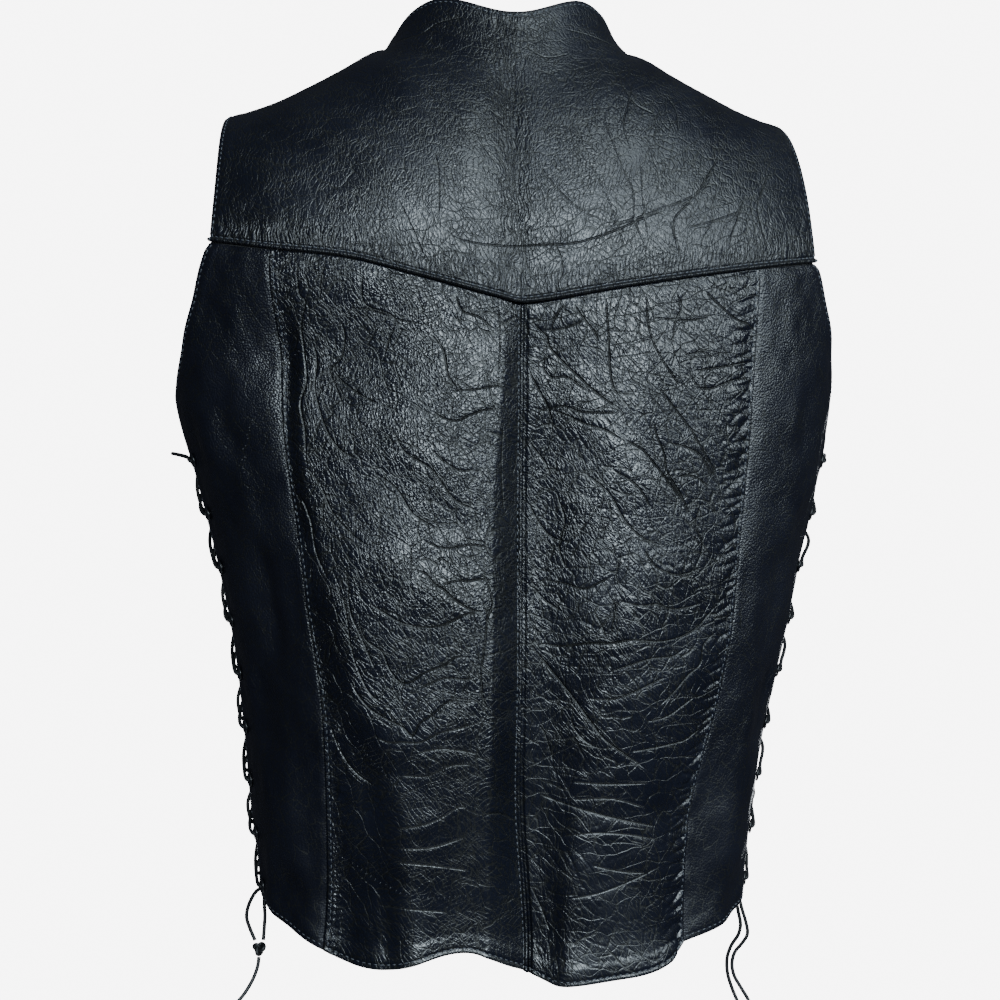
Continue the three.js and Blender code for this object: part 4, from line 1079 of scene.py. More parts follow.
def folded_edge(d, raise_by, back_to, roll):
    """Height of a folded and topstitched edge: a flat rise that eases out, rounded at the very edge
    on a quarter circle, with a soft trough under the stitches."""
    flat = raise_by * (1 - smooth((d - back_to) / FOLD_EASE))
    corner = -roll * (1 - np.sqrt(np.clip(1 - np.clip(1 - d / roll, 0, 1) ** 2, 0, 1)))
    trough = -STITCH_SINK * bell(d - STITCH_INSET, 0.9)
    return flat + corner + trough


def calm_within(edges, start=4.0, ease=4.0):
    """0 beside the given edges and 1 further in, so that creases stop short of a seam."""
    return smooth((np.minimum.reduce(edges) - start) / ease)


def crease_relief(creases, panel, amount=1.0):
    """Listed creases: each a trough of bell section along its own curve, with a low shoulder on
    both sides, running out at its ends and uneven along its length. The signed distance to the
    nearest curve and its depth there go to the panel, for the sharp line at the bottom."""
    x, z = panel.body[..., 0], panel.body[..., 2]
    total, nearest = np.zeros(x.shape), np.full(x.shape, LINE_REACH)
    for number, (depth, half, points) in enumerate(creases):
        path = spline(np.array(points, float), 1.2)
        heading = unit(np.gradient(path, axis=0))
        low, high = path.min(0) - 7 * half, path.max(0) + 7 * half
        near = (x > low[0]) & (x < high[0]) & (z > low[1]) & (z < high[1])
        if not near.any():
            continue
        px, pz = x[near], z[near]
        away = np.full(px.shape, 1e9)
        share, side = np.zeros(px.shape), np.zeros(px.shape)
        for k, ((cx, cz), (hx, hz)) in enumerate(zip(path, heading)):
            d = np.hypot(px - cx, pz - cz)
            closer = d < away
            away = np.where(closer, d, away)
            share = np.where(closer, k / (len(path) - 1), share)
            side = np.where(closer, (px - cx) * hz - (pz - cz) * hx, side)
        ends = smooth(share / 0.18) * smooth((1 - share) / 0.18)
        fade = ends * mix(0.5, 1.3, noise(share * 9, number + 0.5))
        profile = -bell(away, 0.7 * half) + 0.3 * bell(away - 2.6 * half, 1.5 * half)
        total[near] += SOFT_SHARE * depth * fade * profile
        line = away < nearest[near]
        nearest[near] = np.where(line, away, nearest[near])
        deep = depth * fade * (1 - smooth((away - 1) / (LINE_REACH - 1)))
        old_side, old_deep = panel.lines[near, 0], panel.lines[near, 1]
        panel.lines[near, 0] = np.where(line, side, old_side)
        panel.lines[near, 1] = np.where(line, deep, old_deep)
    panel.lines[..., 1] *= amount
    return total * amount


def bend(x, z, size, push, layer=0):
    """Coordinates pushed about by smooth noise, so that a pattern loses its regularity."""
    bent_x = x + push * (noise(x / size, z / size, layer) - 0.5)
    return bent_x, z + push * (noise(x / size + 31, z / size, layer + 1) - 0.5)


def along_slope(x, z, slope):
    """Coordinates along a slope in degrees, and square to it."""
    turn = math.radians(slope)
    return x * math.cos(turn) + z * math.sin(turn), z * math.cos(turn) - x * math.sin(turn)


def cracked(x, z, size, depth, half, layer=0):
    """Network of troughs along the walls of cells of a size, deeper in some places than others."""
    bx, bz = bend(x, z, size * 1.6, size * 1.1, layer)
    patch = mix(0.25, 1.3, noise(x / (3.4 * size), z / (3.4 * size), layer + 2))
    return -depth * patch * bell(cell_edge(bx, bz, size, layer), half)


def long_cracks(x, z, long, short, slope, depth, layer=0):
    """The same network with its cells drawn out along a slope, patchy, so that the troughs run on
    as long wrinkles."""
    along, across = along_slope(*bend(x, z, 24.0, 7.0, layer), slope)
    patch = smooth((noise(x / 21 + 5 * layer, z / 21, layer) - 0.3) / 0.35)
    return -depth * patch * bell(cell_edge(along * short / long, across, short, layer), 1.0)


def puckers(along, away, pitch, long, depth, reach, lean, layer=0):
    """Gathers that run away from a seam: lens-shaped pillows between sharp troughs, from cells
    drawn out square to the seam, leaning along it and fading out from it."""
    shift = along + lean * away + 3.0 * (noise(along / 13, away / 16, layer) - 0.5)
    d = cell_edge(shift, away * pitch / long, pitch, layer)
    pillow = 0.9 * smooth(d / (0.6 * pitch)) - 0.3 - 0.45 * bell(d, 0.7)
    return depth * pillow * bell(np.maximum(0, away - 6), reach) * smooth((away - 1.5) / 3)


# Broad soft folds of the back: x, z, half length, half width, slope in degrees, height
BACK_FOLDS = [
    (-60, -338, 44, 13, -30, 1.7), (-66, -390, 44, 13, -20, -1.3), (-45, -186, 44, 9, -64, -0.9),
    (-78, -205, 40, 12, -80, 0.7), (-36, -230, 34, 9, -72, 0.8), (-64, -262, 36, 14, -16, 1.1),
    (-100, -296, 24, 8, -58, -0.7), (-38, -302, 26, 8, 5, -0.6), (-84, -424, 34, 10, -38, 1.0),
    (-52, -418, 26, 9, 34, 0.8), (-66, -448, 40, 8, -4, -0.8), (-60, -478, 44, 9, 6, 0.8),
    (-70, -508, 46, 10, 4, -0.7), (54, -352, 30, 7, 88, -1.3), (36, -410, 50, 6, -47, 0.9),
    (28, -402, 44, 7, -47, -0.8), (76, -262, 54, 10, -55, -1.2), (48, -250, 50, 12, -50, 0.9),
    (80, -330, 30, 12, -20, 1.1), (92, -372, 34, 8, 42, -1.0), (70, -400, 40, 9, 28, 0.8),
    (60, -452, 46, 7, 6, 0.8), (56, -474, 46, 8, 2, -0.8), (62, -502, 44, 9, 10, 0.9),
    (26, -300, 34, 9, 80, 0.8), (104, -206, 30, 9, -60, 0.7), (62, -190, 34, 14, -30, 0.8),
]
# Ridge line beside the left princess seam, where the panel turns away: z, x, and its width
LEFT_RIDGE = np.array([
    [-560, -60, 26], [-440, -74, 26], [-404, -92, 26], [-357, -103, 24], [-300, -119, 18], [-270, -127, 14],
    [-200, -130, 13], [-140, -131, 13],
], float)
# Middle of the wrinkled band down the yoke, and how far the panels' top edges sink under the yoke
YOKE_MIDDLE = -6
TOP_SINK = 1.1

# Fall of the back, in millimetres: each pair is at the yoke and from the waist down
VALLEY_DEPTH = (8.0, 16.5)
VALLEY_WALL = (10, 17)
VALLEY_ROUNDING = 0.35
VALLEY_RIGHT = 75
FLANK_FALL = 5.5
FLANK_END = (0.99, 0.13)
SEAM_PULL = 1.2
DENT_DEPTH = 5.0
# Each pair is on the right and on the left half
BELLY_OUT = (0.8, 3.5)
WAIST_IN = (12.0, 11.0)
WAIST_FROM = (-340, -400)
WAIST_RUN = (190, 150)
HEM_OUT = 3.5
RECESS_TOP = 2.4
RECESS_FLANK = 9.0


def back_drape(body):
    """How the back hangs off the plain form: beside the centre seam the left half falls steeply
    and the right half rises gently, the left flank turns away beyond its ridge line, both seams
    pull in, the belly of the back stands out, and broad soft folds and swells lie between. All of
    it dies out towards the lacing."""
    x, z = body[..., 0], body[..., 2]
    height = np.minimum(z, BLADE_Z)
    share = np.abs(x - read(SECTIONS, height, 4)) / read(SECTIONS, height, 1)
    left = smooth((20 - x) / 40)
    grown = smooth((-190 - z) / 120)
    wall = np.clip((-3.5 - x) / mix(*VALLEY_WALL, grown), 0, 1)
    steep = 1 - mix(wall, 1 - (1 - wall) ** 2, VALLEY_ROUNDING)
    valley = -mix(*VALLEY_DEPTH, grown) * np.where(x < 0, steep, 1 - smooth(x / VALLEY_RIGHT))
    beyond = smooth((read(LEFT_RIDGE, z) - x) / read(LEFT_RIDGE, z, 2))
    flank = -FLANK_FALL * beyond * smooth((FLANK_END[0] - share) / FLANK_END[1])
    right_seam = -SEAM_PULL * bell(x - seam_x(1, z), 8.0)
    folds = 0
    for at_x, at_z, long, wide, slope, rise in BACK_FOLDS:
        along, across = along_slope(x - at_x, z - at_z, slope)
        folds = folds + rise * bell(along, long) * bell(across, wide)
    swell = 1.6 * (noise(x / 40 + 3, z / 44, 0) - 0.5) + 0.9 * (noise(x / 19, z / 23 + 9, 1) - 0.5)
    belly = mix(*BELLY_OUT, left) * bell(z + 372, 60) + HEM_OUT * smooth((-545 - z) / 30)
    belly = belly - mix(*WAIST_IN, left) * smooth((mix(*WAIST_FROM, left) - z) / mix(*WAIST_RUN, left))
    recess = -RECESS_TOP * left * bell(z + 150, 50) * smooth((-145 - z) / 10)
    recess = recess - RECESS_FLANK * smooth((-30 - x) / 90) * bell(z + 190, 62)
    dents = DENT_DEPTH * (noise(body[..., 1] / 17 + 3, z / 25, 2) - 0.5)
    dents = dents * smooth((share - 0.82) / 0.06) * smooth((0.99 - share) / 0.05) * smooth((z + 560) / 20)
    inside = (folds + swell + belly + recess) * smooth((0.9 - share) / 0.2)
    return (valley + flank + right_seam + dents + inside) * smooth((-150 - z) / 60)


# Long wrinkles of a piece: length, spacing, slope in degrees, depth, noise layer
LEFT_WRINKLES = [(26, 10, -50, 0.2, 0), (24, 11, 30, 0.16, 1)]
RIGHT_WRINKLES = [(30, 10.0, -52, 0.25, 1), (26, 11.0, 84, 0.2, 2)]
SEAM_WRINKLES = (26, 3.4, 88, 0.25, 2)


def centre_relief(sign, creases):
    """Relief of a centre panel: seam laps, stitch troughs, gathers, listed creases and long
    wrinkles, and on the right a cracked network."""
    def relief(panel):
        x, z = panel.body[..., 0], panel.body[..., 2]
        seam, princess, top, hem = panel.edges
        out = -TOP_SINK * (1 - smooth((top - 1) / 5))
        out += folded_edge(princess, 0.7, 2.5, 0.8) + folded_edge(hem, 0.4, 9, 0.7)
        if sign < 0:
            out += folded_edge(seam, 0.1, 6, 0.7) + 1.1 * bell(seam - 1.0, 0.9)
        else:
            out += -1.5 * (1 - smooth((seam - 1.2) / 1.6))
        calm = calm_within((princess, hem), 4, 3) * calm_within((seam, top), 3, 3)
        out += crease_relief(creases, panel, mix(0.3, 1, calm))
        out += sum(long_cracks(x, z, *row) * calm for row in (LEFT_WRINKLES if sign < 0 else RIGHT_WRINKLES))
        if sign < 0:
            out += puckers(z, princess, 3.2, 15, 0.45, 8, -0.1, 1)
            out += long_cracks(x, z, *SEAM_WRINKLES) * calm * bell(x + 24, 11)
        else:
            out += puckers(z, princess, 7.2, 22, 1.1, 10, 0.25, 2)
            out += cracked(x, z, 15, 0.2, 1.1, 0) * calm
        return out
    return relief


def side_relief(panel):
    """Sunk seam edges, folded outer edges, a faint cracked network and soft swells."""
    seam, outer, top, hem = panel.edges
    z = panel.body[..., 2]
    out = -TOP_SINK * (1 - smooth((top - 1) / 5)) - 0.6 * (1 - smooth(seam / 3))
    out += folded_edge(outer, 0.5, 8, 0.8) + folded_edge(hem, 0.4, 9, 0.7)
    calm = calm_within((outer, hem))
    return out + (cracked(seam, z, 17, 0.2, 1.4, 1) + 1.2 * (noise(seam / 9, z / 12, 0) - 0.5)) * calm


def front_relief(sign):
    """Relief of a front: folded edges, creases like those of the back, long wrinkles and swells."""
    def relief(panel):
        x, z = panel.body[..., 0], panel.body[..., 2]
        inner, outer, top, hem = panel.edges
        out = -0.8 * (1 - smooth((top - 1) / 4)) + folded_edge(hem, 0.4, 9, 0.7)
        out += folded_edge(inner, 0.5, 8, 0.8) + folded_edge(outer, 0.5, 8, 0.8)
        calm = calm_within(panel.edges)
        out += crease_relief(FRONT_CREASES[sign], panel, calm)
        out += long_cracks(x, z, 34, 14, -24 * sign, 0.4, 1) * calm
        out += long_cracks(x, z, 30, 13, 8 * sign, 0.35, 2) * calm
        return out + 1.4 * (noise(x / 26 + 2, z / 20, 1) - 0.5) * calm
    return relief


def yoke_relief(panel):
    """Rolled and topstitched lower edge, fine gathers above it, upright wrinkles down the middle,
    listed creases, and long wrinkles to either side."""
    x = panel.body[..., 0]
    left, right, low, high = panel.edges
    out = folded_edge(low, 0.6, 2, 1.0) + 1.2 * bell(low - 1.3, 1.0) - 0.7 * bell(low - 3.3, 0.9)
    out += folded_edge(left, 0.4, 8, 0.7) + folded_edge(right, 0.4, 8, 0.7) + folded_edge(high, 0.3, 6, 0.7)
    calm = calm_within(panel.edges)
    behind = smooth(-panel.body[..., 1] / 30)
    out += puckers(x, low, 4.0, 26, 0.8, 12, 0.1, 0) * mix(0.5, 1, bell(x + 10, 60)) * behind
    out += crease_relief(YOKE_CREASES, panel, 0.5 * calm * behind)
    for wrinkles, where in (
        ((26, 10, 62, 0.25, 1), smooth((x - 5) / 60)),
        ((28, 11, -24, 0.2, 2), smooth((x - 10) / 60)),
        ((40, 4.6, 89, 0.9, 0), behind * bell(x - YOKE_MIDDLE, 12)),
        ((24, 9, 80, 0.2, 1), smooth((10 - x) / 60)),
    ):
        out += long_cracks(x, low, *wrinkles) * calm * where
    return out


def yoke_drape(body):
    """A shallow valley down the middle of the yoke's back, and soft swells beside it."""
    x, y, z = body[..., 0], body[..., 1], body[..., 2]
    swell = 1.8 * (noise(x / 58 + 7, z / 50, 1) - 0.5)
    valley = -2.6 * np.where(x < 0, 1 - smooth(-x / 34), 1 - smooth(x / 60)) - 2.4 * bell(x - YOKE_MIDDLE, 8)
    return (swell + valley) * smooth(-y / 40) * smooth((-10 - z) / 40) * smooth((z + 165) / 30)


def no_drape(body):
    """0 all over."""
    return np.zeros(body.shape[:-1])


# Thread, holes, rings and thongs

def tube(path, radius, sides, closed=False):
    """A round profile carried along a path: at each point, radius times cosine and sine of the angle
    along two directions square to the path, which turn as little as they can."""
    path = np.asarray(path, float)
    ahead = np.roll(path, -1, 0) - np.roll(path, 1, 0) if closed else np.gradient(path, axis=0)
    ahead = unit(ahead)
    frames = []
    side = np.cross(ahead[0], [0.0, 0.3, 1.0])
    for direction in ahead:
        side = unit(side - direction * np.dot(side, direction))
        frames.append(side)
    side = np.array(frames)
    up = np.cross(ahead, side)
    if closed:
        slip = math.atan2(np.dot(side[0], up[-1]), np.dot(side[0], side[-1]))
        turn = slip * np.arange(len(path)) / len(path)
        side, up = (side * np.cos(turn)[:, None] + up * np.sin(turn)[:, None],
                    up * np.cos(turn)[:, None] - side * np.sin(turn)[:, None])
    angle = turns_of(sides)
    radius = np.broadcast_to(radius, len(path))
    ring = side[:, None] * np.cos(angle)[None, :, None] + up[:, None] * np.sin(angle)[None, :, None]
    return path[:, None] + ring * radius[:, None, None]


def loop_faces(rings, sides, closed=False):
    """Quads between neighbouring rings of a tube."""
    index = np.arange(rings * sides).reshape(rings, sides)
    following = np.roll(index, -1, 0) if closed else index[1:]
    here = index if closed else index[:-1]
    return np.stack([
        here, np.roll(here, -1, 1), np.roll(following, -1, 1), following,
    ], -1).reshape(-1, 4)


def put_tube(name, path, radius, sides, material, closed=False):
    """A tube with its ends drawn in to a small round cap."""
    path = np.asarray(path, float)
    if not closed:
        start, end = unit(path[0] - path[1]), unit(path[-1] - path[-2])
        cap = np.array([0.0, 0.35, 0.75])
        before = path[0] + start * radius * 0.6 * (1 - cap)[:, None]
        after = path[-1] + end * radius * 0.6 * (1 - cap[::-1])[:, None]
        width = np.sqrt(1 - (1 - cap) ** 2)
        path = np.vstack([before, path, after])
        radius = radius * np.concatenate([np.maximum(width, 0.02), np.ones(len(path) - 6),
                                          np.maximum(width[::-1], 0.02)])
    rings = tube(path, radius, sides, closed)
    faces = loop_faces(len(rings), sides, closed)
    piece = put_mesh(name, rings.reshape(-1, 3), faces, [material])
    if not closed:
        close_ends(piece)
    return piece


def close_ends(piece):
    """Fills the two open rings of a tube."""
    work = bmesh.new()
    work.from_mesh(piece.data)
    edges = [e for e in work.edges if e.is_boundary]
    bmesh.ops.holes_fill(work, edges=edges, sides=0)
    bmesh.ops.recalc_face_normals(work, faces=work.faces)
    work.to_mesh(piece.data)
    work.free()
    piece.data.shade_smooth()


STITCH_SIDES = 6
STITCH_RINGS = np.array([-1.0, -0.8, -0.35, 0.35, 0.8, 1.0])
STITCH_WIDTHS = np.array([0.15, 0.7, 1.0, 1.0, 0.7, 0.15])


def stitches(line, normal):
    """Points and faces of a run of stitches: short round bars along a line, one each pitch, whose
    ends dip into the leather, all from one profile of six rings."""
    run = lengths_along(line)
    count = int((run[-1] - STITCH_START) // STITCH_PITCH)
    if count < 1:
        return np.zeros((0, 3)), np.zeros((0, 4), int)
    middle = STITCH_START + STITCH_PITCH * (np.arange(count) + 0.5)

    def pick(table, at):
        """Values of a table at distances along the line."""
        return np.stack([np.interp(at, run, table[:, i]) for i in range(3)], -1)

    centre = pick(line, middle)
    ahead = unit(pick(line, middle + STITCH_LENGTH / 2) - pick(line, middle - STITCH_LENGTH / 2))
    up = pick(normal, middle)
    up = unit(up - ahead * np.sum(up * ahead, axis=1, keepdims=True))
    side = np.cross(ahead, up)
    angle = turns_of(STITCH_SIDES)
    along = STITCH_RINGS * STITCH_LENGTH / 2
    dip = THREAD_RADIUS * 0.55 - 1.1 * THREAD_RADIUS * STITCH_RINGS ** 4
    ring = up[:, None] * np.sin(angle)[:, None] + side[:, None] * np.cos(angle)[:, None]
    points = centre[:, None, None] + ahead[:, None, None] * along[:, None, None]
    points = points + up[:, None, None] * dip[:, None, None]
    points = points + ring[:, None] * (THREAD_RADIUS * STITCH_WIDTHS)[:, None, None]
    rings = len(STITCH_RINGS)
    each = rings * STITCH_SIDES
    sleeve = loop_faces(rings, STITCH_SIDES)
    caps = []
    for base in (0, (rings - 1) * STITCH_SIDES):
        corner = base + np.arange(STITCH_SIDES)
        pair = [corner[[0, 1, 2, 3]], corner[[0, 3, 4, 5]]]
        caps += [c if base else c[::-1] for c in pair]
    one = np.concatenate([sleeve, np.array(caps)])
    faces = (one[None] + (np.arange(count) * each)[:, None, None]).reshape(-1, 4)
    return points.reshape(-1, 3), faces


def put_joined(name, parts, material):
    """One mesh from several (points, faces) parts."""
    points, faces, start = [], [], 0
    for p, f in parts:
        points.append(p)
        faces.append(f + start)
        start += len(p)
    return put_mesh(name, np.concatenate(points), np.concatenate(faces), [material])


def turned(profile, sides, centre, axis):
    """A closed profile of (radius, height) pairs turned round an axis at a centre."""
    axis = unit(axis)
    first = unit(np.cross(axis, [0.0, 0.0, 1.0]))
    second = np.cross(axis, first)
    angle = turns_of(sides)
    around = first[None] * np.cos(angle)[:, None] + second[None] * np.sin(angle)[:, None]
    profile = np.asarray(profile, float)
    points = centre + profile[:, 0][:, None, None] * around[None] + profile[:, 1][:, None, None] * axis
    faces = loop_faces(len(profile), sides, closed=True)
    return points.reshape(-1, 3), faces


def declare(piece, nodes=()):
    """Rides a piece on the one body and the nodes that it stands for."""
    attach(piece, "root")
    if nodes:
        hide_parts(*nodes)


# The camera and the cords come first
add_camera()

THONG = rolled_thong()


def put_cord(name, rows, node):
    """A free lace end: a round bevelled curve through its rows, hanging under its own weight."""
    path = spline(rows, 3.0) * MM
    curve = bpy.data.curves.new(name, "CURVE")
    curve.dimensions = "3D"
    curve.bevel_depth = CORD_RADIUS * MM
    curve.bevel_resolution = 4
    curve.use_fill_caps = True
    run = curve.splines.new("POLY")
    run.points.add(len(path) - 1)
    run.points.foreach_set("co", np.column_stack([path, np.ones(len(path))]).ravel())
    run.use_smooth = True
    curve.materials.append(THONG)
    piece = put_object(name, curve)
    declare(piece, [node])
    return piece


def knot_path():
    """Overhand knot pulled tight: the trefoil (sin t + 2 sin 2t, -1.1 sin 3t, cos t - 2 cos 2t),
    scaled to about 10 mm."""
    t = np.linspace(0, 2 * np.pi, 72, endpoint=False)
    loop = np.stack([np.sin(t) + 2 * np.sin(2 * t), -1.1 * np.sin(3 * t), np.cos(t) - 2 * np.cos(2 * t)], -1)
    return LEFT_KNOT + loop * [1.12, 1.5, 1.25]


knot = put_tube("lace_knot", knot_path(), KNOT_RADIUS, 12, THONG, closed=True)
declare(knot, ["lace_knot_left"])
put_cord("free_lace_left_outer", LEFT_OUTER_STRAND, "lace_end_left_outer")
put_cord("free_lace_left_inner", LEFT_INNER_STRAND, "lace_end_left_inner")
put_cord("free_lace_left_tail", LEFT_TAIL, "lace_tail_left")
put_cord("free_lace_right_outer", RIGHT_OUTER_STRAND, "lace_end_right_outer")
put_cord("free_lace_right_inner", RIGHT_INNER_STRAND, "lace_end_right_inner")

# Leather pieces
INNER_SIDE = flesh_side()
YOKE_HIDE = cowhide(
    "cowhide_fine_pebbled", (1.3, 0.13), [(6.5, 2.2, 78, 0.17), (7.0, 2.7, -55, 0.17), (18.0, 8.0, 20, 0.16)],
    0.3, (0.3, 0.38),
)
LEFT_HIDE = cowhide(
    "cowhide_wrinkled", (1.4, 0.15),
    [(9.0, 2.3, -48, 0.2), (8.0, 2.8, 30, 0.16), (22.0, 8.0, -62, 0.34)], 0.16,
)
RIGHT_HIDE = cowhide(
    "cowhide_cracked", (1.4, 0.11),
    [(30.0, 9.0, -52, 0.3), (26.0, 10.0, 6, 0.26), (22.0, 7.5, 78, 0.26), (8.0, 2.2, -55, 0.16)], 0.12,
)
PLAIN_HIDE = cowhide(
    "cowhide_smooth", (1.3, 0.3), [(14.0, 6.0, 60, 0.07), (9.0, 3.4, -30, 0.08)],
    0.02, (0.3, 0.38), "#0e101b",
)
THREAD = bonded_thread()


def way_of_back(body):
    """1 where fine wrinkles stand upright, beside the centre and princess seams; 0 where they lie
    level, across the waist."""
    x, z = body[..., 0], body[..., 2]
    upright = bell(x + 34, 13) + bell(x - 14, 22) + bell(x + 122, 14)
    waist = smooth((-360 - z) / 60)
    return mix(0.62, 0.18, waist) + upright + 0.5 * (noise(x / 22, z / 22, 1) - 0.5)


def way_of_yoke(body):
    """1 where fine wrinkles stand upright on the yoke: above its lower edge and down its middle."""
    x, z = body[..., 0], body[..., 2]
    foot = smooth((panel_top(x) + 26 - z) / 16)
    return 0.1 + 0.9 * foot + 1.2 * bell(x - YOKE_MIDDLE, 12) + 0.5 * (noise(x / 30, z / 30, 2) - 0.5)


def way_of_side(body):
    """Half way all over."""
    return np.full(body.shape[:-1], 0.5)


# Shifts that give each kind of piece its own part of the grain
SIDE_SHIFT = 300
YOKE_SHIFT = 700


def lie_on_back(panel):
    """Pattern place on a centre panel: x and z."""
    return panel.body[..., [0, 2, 2]] * [1, 1, 0]


def lie_on_side(panel):
    """Pattern place on a side or front panel: millimetres round from its inner edge, and z."""
    return np.stack([panel.edges[0] + SIDE_SHIFT, panel.body[..., 2], 0 * panel.edges[0]], -1)


def lie_on_yoke(panel):
    """Pattern place on the yoke: x, and millimetres up from its lower edge."""
    return np.stack([panel.body[..., 0], panel.edges[2] + YOKE_SHIFT, 0 * panel.edges[2]], -1)


panels = {}
for sign, word, creases, hide in (
    (-1, "left", LEFT_CREASES, LEFT_HIDE),
    (1, "right", RIGHT_CREASES, RIGHT_HIDE),
):
    panels["centre", sign] = Panel(
        f"back_centre_{word}", partial(centre_point, sign),
        shares((0.07, 14), (0.88, 130), (1, 24)), shares((0.02, 11), (0.98, 506), (1, 11)), -sign,
        back_drape, centre_relief(sign, creases), hide, way_of_back, lie_on_back,
        ("top",) if sign < 0 else ("left", "top"), 4,
    )
    panels["side", sign] = Panel(
        f"back_side_panel_{word}", partial(side_point, sign),
        shares((0.06, 4), (0.9, 30), (1, 8)), shares((0.02, 5), (0.98, 168), (1, 6)), -sign,
        back_drape, side_relief, PLAIN_HIDE, way_of_side, lie_on_side, ("left", "top"),
    )
    panels["front", sign] = Panel(
        f"front_panel_{word}", partial(front_point, sign, LAP_LIFT if sign < 0 else 0.0),
        shares((0.06, 8), (0.94, 130), (1, 8)), shares((0.02, 5), (0.98, 270), (1, 6)), sign,
        no_drape, front_relief(sign), LEFT_HIDE, way_of_side, lie_on_side, ("top",),
    )
    for kind, node in (("centre", "back_panel"), ("side", "back_side"), ("front", "front")):
        declare(panels[kind, sign].piece, [f"{node}_{word}"])
panels["yoke", 0] = Panel(
    "yoke_panel", yoke_surface, shares((0.03, 6), (0.97, 366), (1, 6)),
    shares((0.02, 8), (0.6, 186), (0.97, 30), (1, 6)), 1, yoke_drape, yoke_relief, YOKE_HIDE, way_of_yoke,
    lie_on_yoke, (), 4,
)
declare(panels["yoke", 0].piece, ["yoke"])

# Seams: rows of stitches at an inset from the edges of each piece
seam_parts = [stitches(*panels["centre", -1].line(0, STITCH_INSET + 1.4))]
for sign in (-1, 1):
    for kind, edges in (("centre", (1, 3)), ("side", (1, 3)), ("front", (1, 3, 0))):
        seam_parts += [stitches(*panels[kind, sign].line(edge, STITCH_INSET)) for edge in edges]
seam_parts += [stitches(*panels["yoke", 0].line(edge, STITCH_INSET)) for edge in range(4)]
topstitching = put_joined("topstitching", seam_parts, THREAD)
declare(topstitching)

# Lacing: each point is given by its height, its side of the body and how far it stands off
EYELET_LIFT = 0.75
INSIDE_OUT = 2.4
THROUGH_OUT = 2.2
CROSSING_LIFT = 1.7
LACE_STEP = 1.8


def row_z(row):
    """Height of a lacing row, counted from the bottom."""
    return mix(EYELET_LOW_Z, EYELET_HIGH_Z, row / (EYELET_ROWS - 1))


def lacing_place(sign, side, row):
    """Where an eyelet sits: on the section, a set run in from the lacing edge, and its normal."""
    level = row_z(row) - BLADE_Z
    edge = body_point(side, sign * LACING_AROUND, level)
    turns = sign * (LACING_AROUND - np.arange(0, 12, 0.02))
    run = np.linalg.norm(body_point(side, turns, level) - edge, axis=1)
    around = turns[np.argmax(run >= EYELET_INSET)]
    across = body_point(side, around - 1, level) - body_point(side, around + 1, level)
    above = body_point(side, around, level + 4) - body_point(side, around, level - 4)
    normal = unit(np.cross(across, above))
    return body_point(side, around, level), normal * np.sign(normal[0] * sign)


def edge_place(sign, side, z, inset, height):
    """A point a run in from the lacing edge and a height off the inner face."""
    level = z - BLADE_Z
    edge = body_point(side, sign * LACING_AROUND, level)
    back = body_point(side, sign * (LACING_AROUND - 1), level)
    along = unit(back - edge)
    normal = unit(np.cross(along, body_point(side, sign * LACING_AROUND, level + 1) - edge))
    return edge + along * inset + normal * np.sign(normal[0] * sign) * height


def middle_place(sign, z, height):
    """A point a height off the body, half way between the two lacing edges."""
    return body_point(1, sign * 90.0, z - BLADE_Z) + np.array([sign * height, 0, 0])


# How far each crossing stands off the body, from the bottom up, and the bar at the top
CROSSING_OUT = {-1: [0, 0.5, 0, 0.5, 0, 0, 0.5, 0], 1: [2, 3, 4, 2, 4, 2, 6, 2]}
TOP_BAR_OUT = {-1: 10.0, 1: 5.0}


def zigzag(sign, first_side, over):
    """Half a lace, from the bottom up: at each row through the eyelet from inside, round the edge
    and over to the other side, crossing the other half above or below it."""
    points = []
    for row in range(EYELET_ROWS):
        side = first_side if row % 2 == 0 else -first_side
        z = row_z(row)
        place, normal = lacing_place(sign, side, row)
        points.append(edge_place(sign, side, z - 2, 0.5, -THROUGH_OUT))
        points += [place - normal * INSIDE_OUT, place + normal * (WALL + THROUGH_OUT)]
        if row < EYELET_ROWS - 1:
            points.append(edge_place(sign, side, z + 5, 0, WALL + INSIDE_OUT))
            points.append(middle_place(sign, row_z(row + 0.5), 1 + over + CROSSING_OUT[sign][row]))
    return points


# Profiles: (radius, height) in millimetres
EYELET_PROFILE = [
    (2.2, -0.4), (2.15, 0.2), (2.25, 0.75), (2.7, 1.1), (3.3, 1.12), (3.9, 0.9), (4.4, 0.5), (4.65, 0.1),
    (4.6, -0.1), (3.4, -0.4),
]
SNAP_PROFILE = [
    (0.01, -0.2), (6.9, -0.2), (7.4, 0.1), (7.5, 0.6), (7.2, 1.1), (6.6, 1.25), (6.2, 1.15), (5.8, 1.35),
    (4.9, 2.1), (3.4, 2.7), (1.7, 3.0), (0.01, 3.1),
]
HOLE_PROFILE = [(0.16, -0.35), (0.22, 0.05), (0.42, 0.26), (0.62, 0.14), (0.74, -0.15), (0.4, -0.5)]

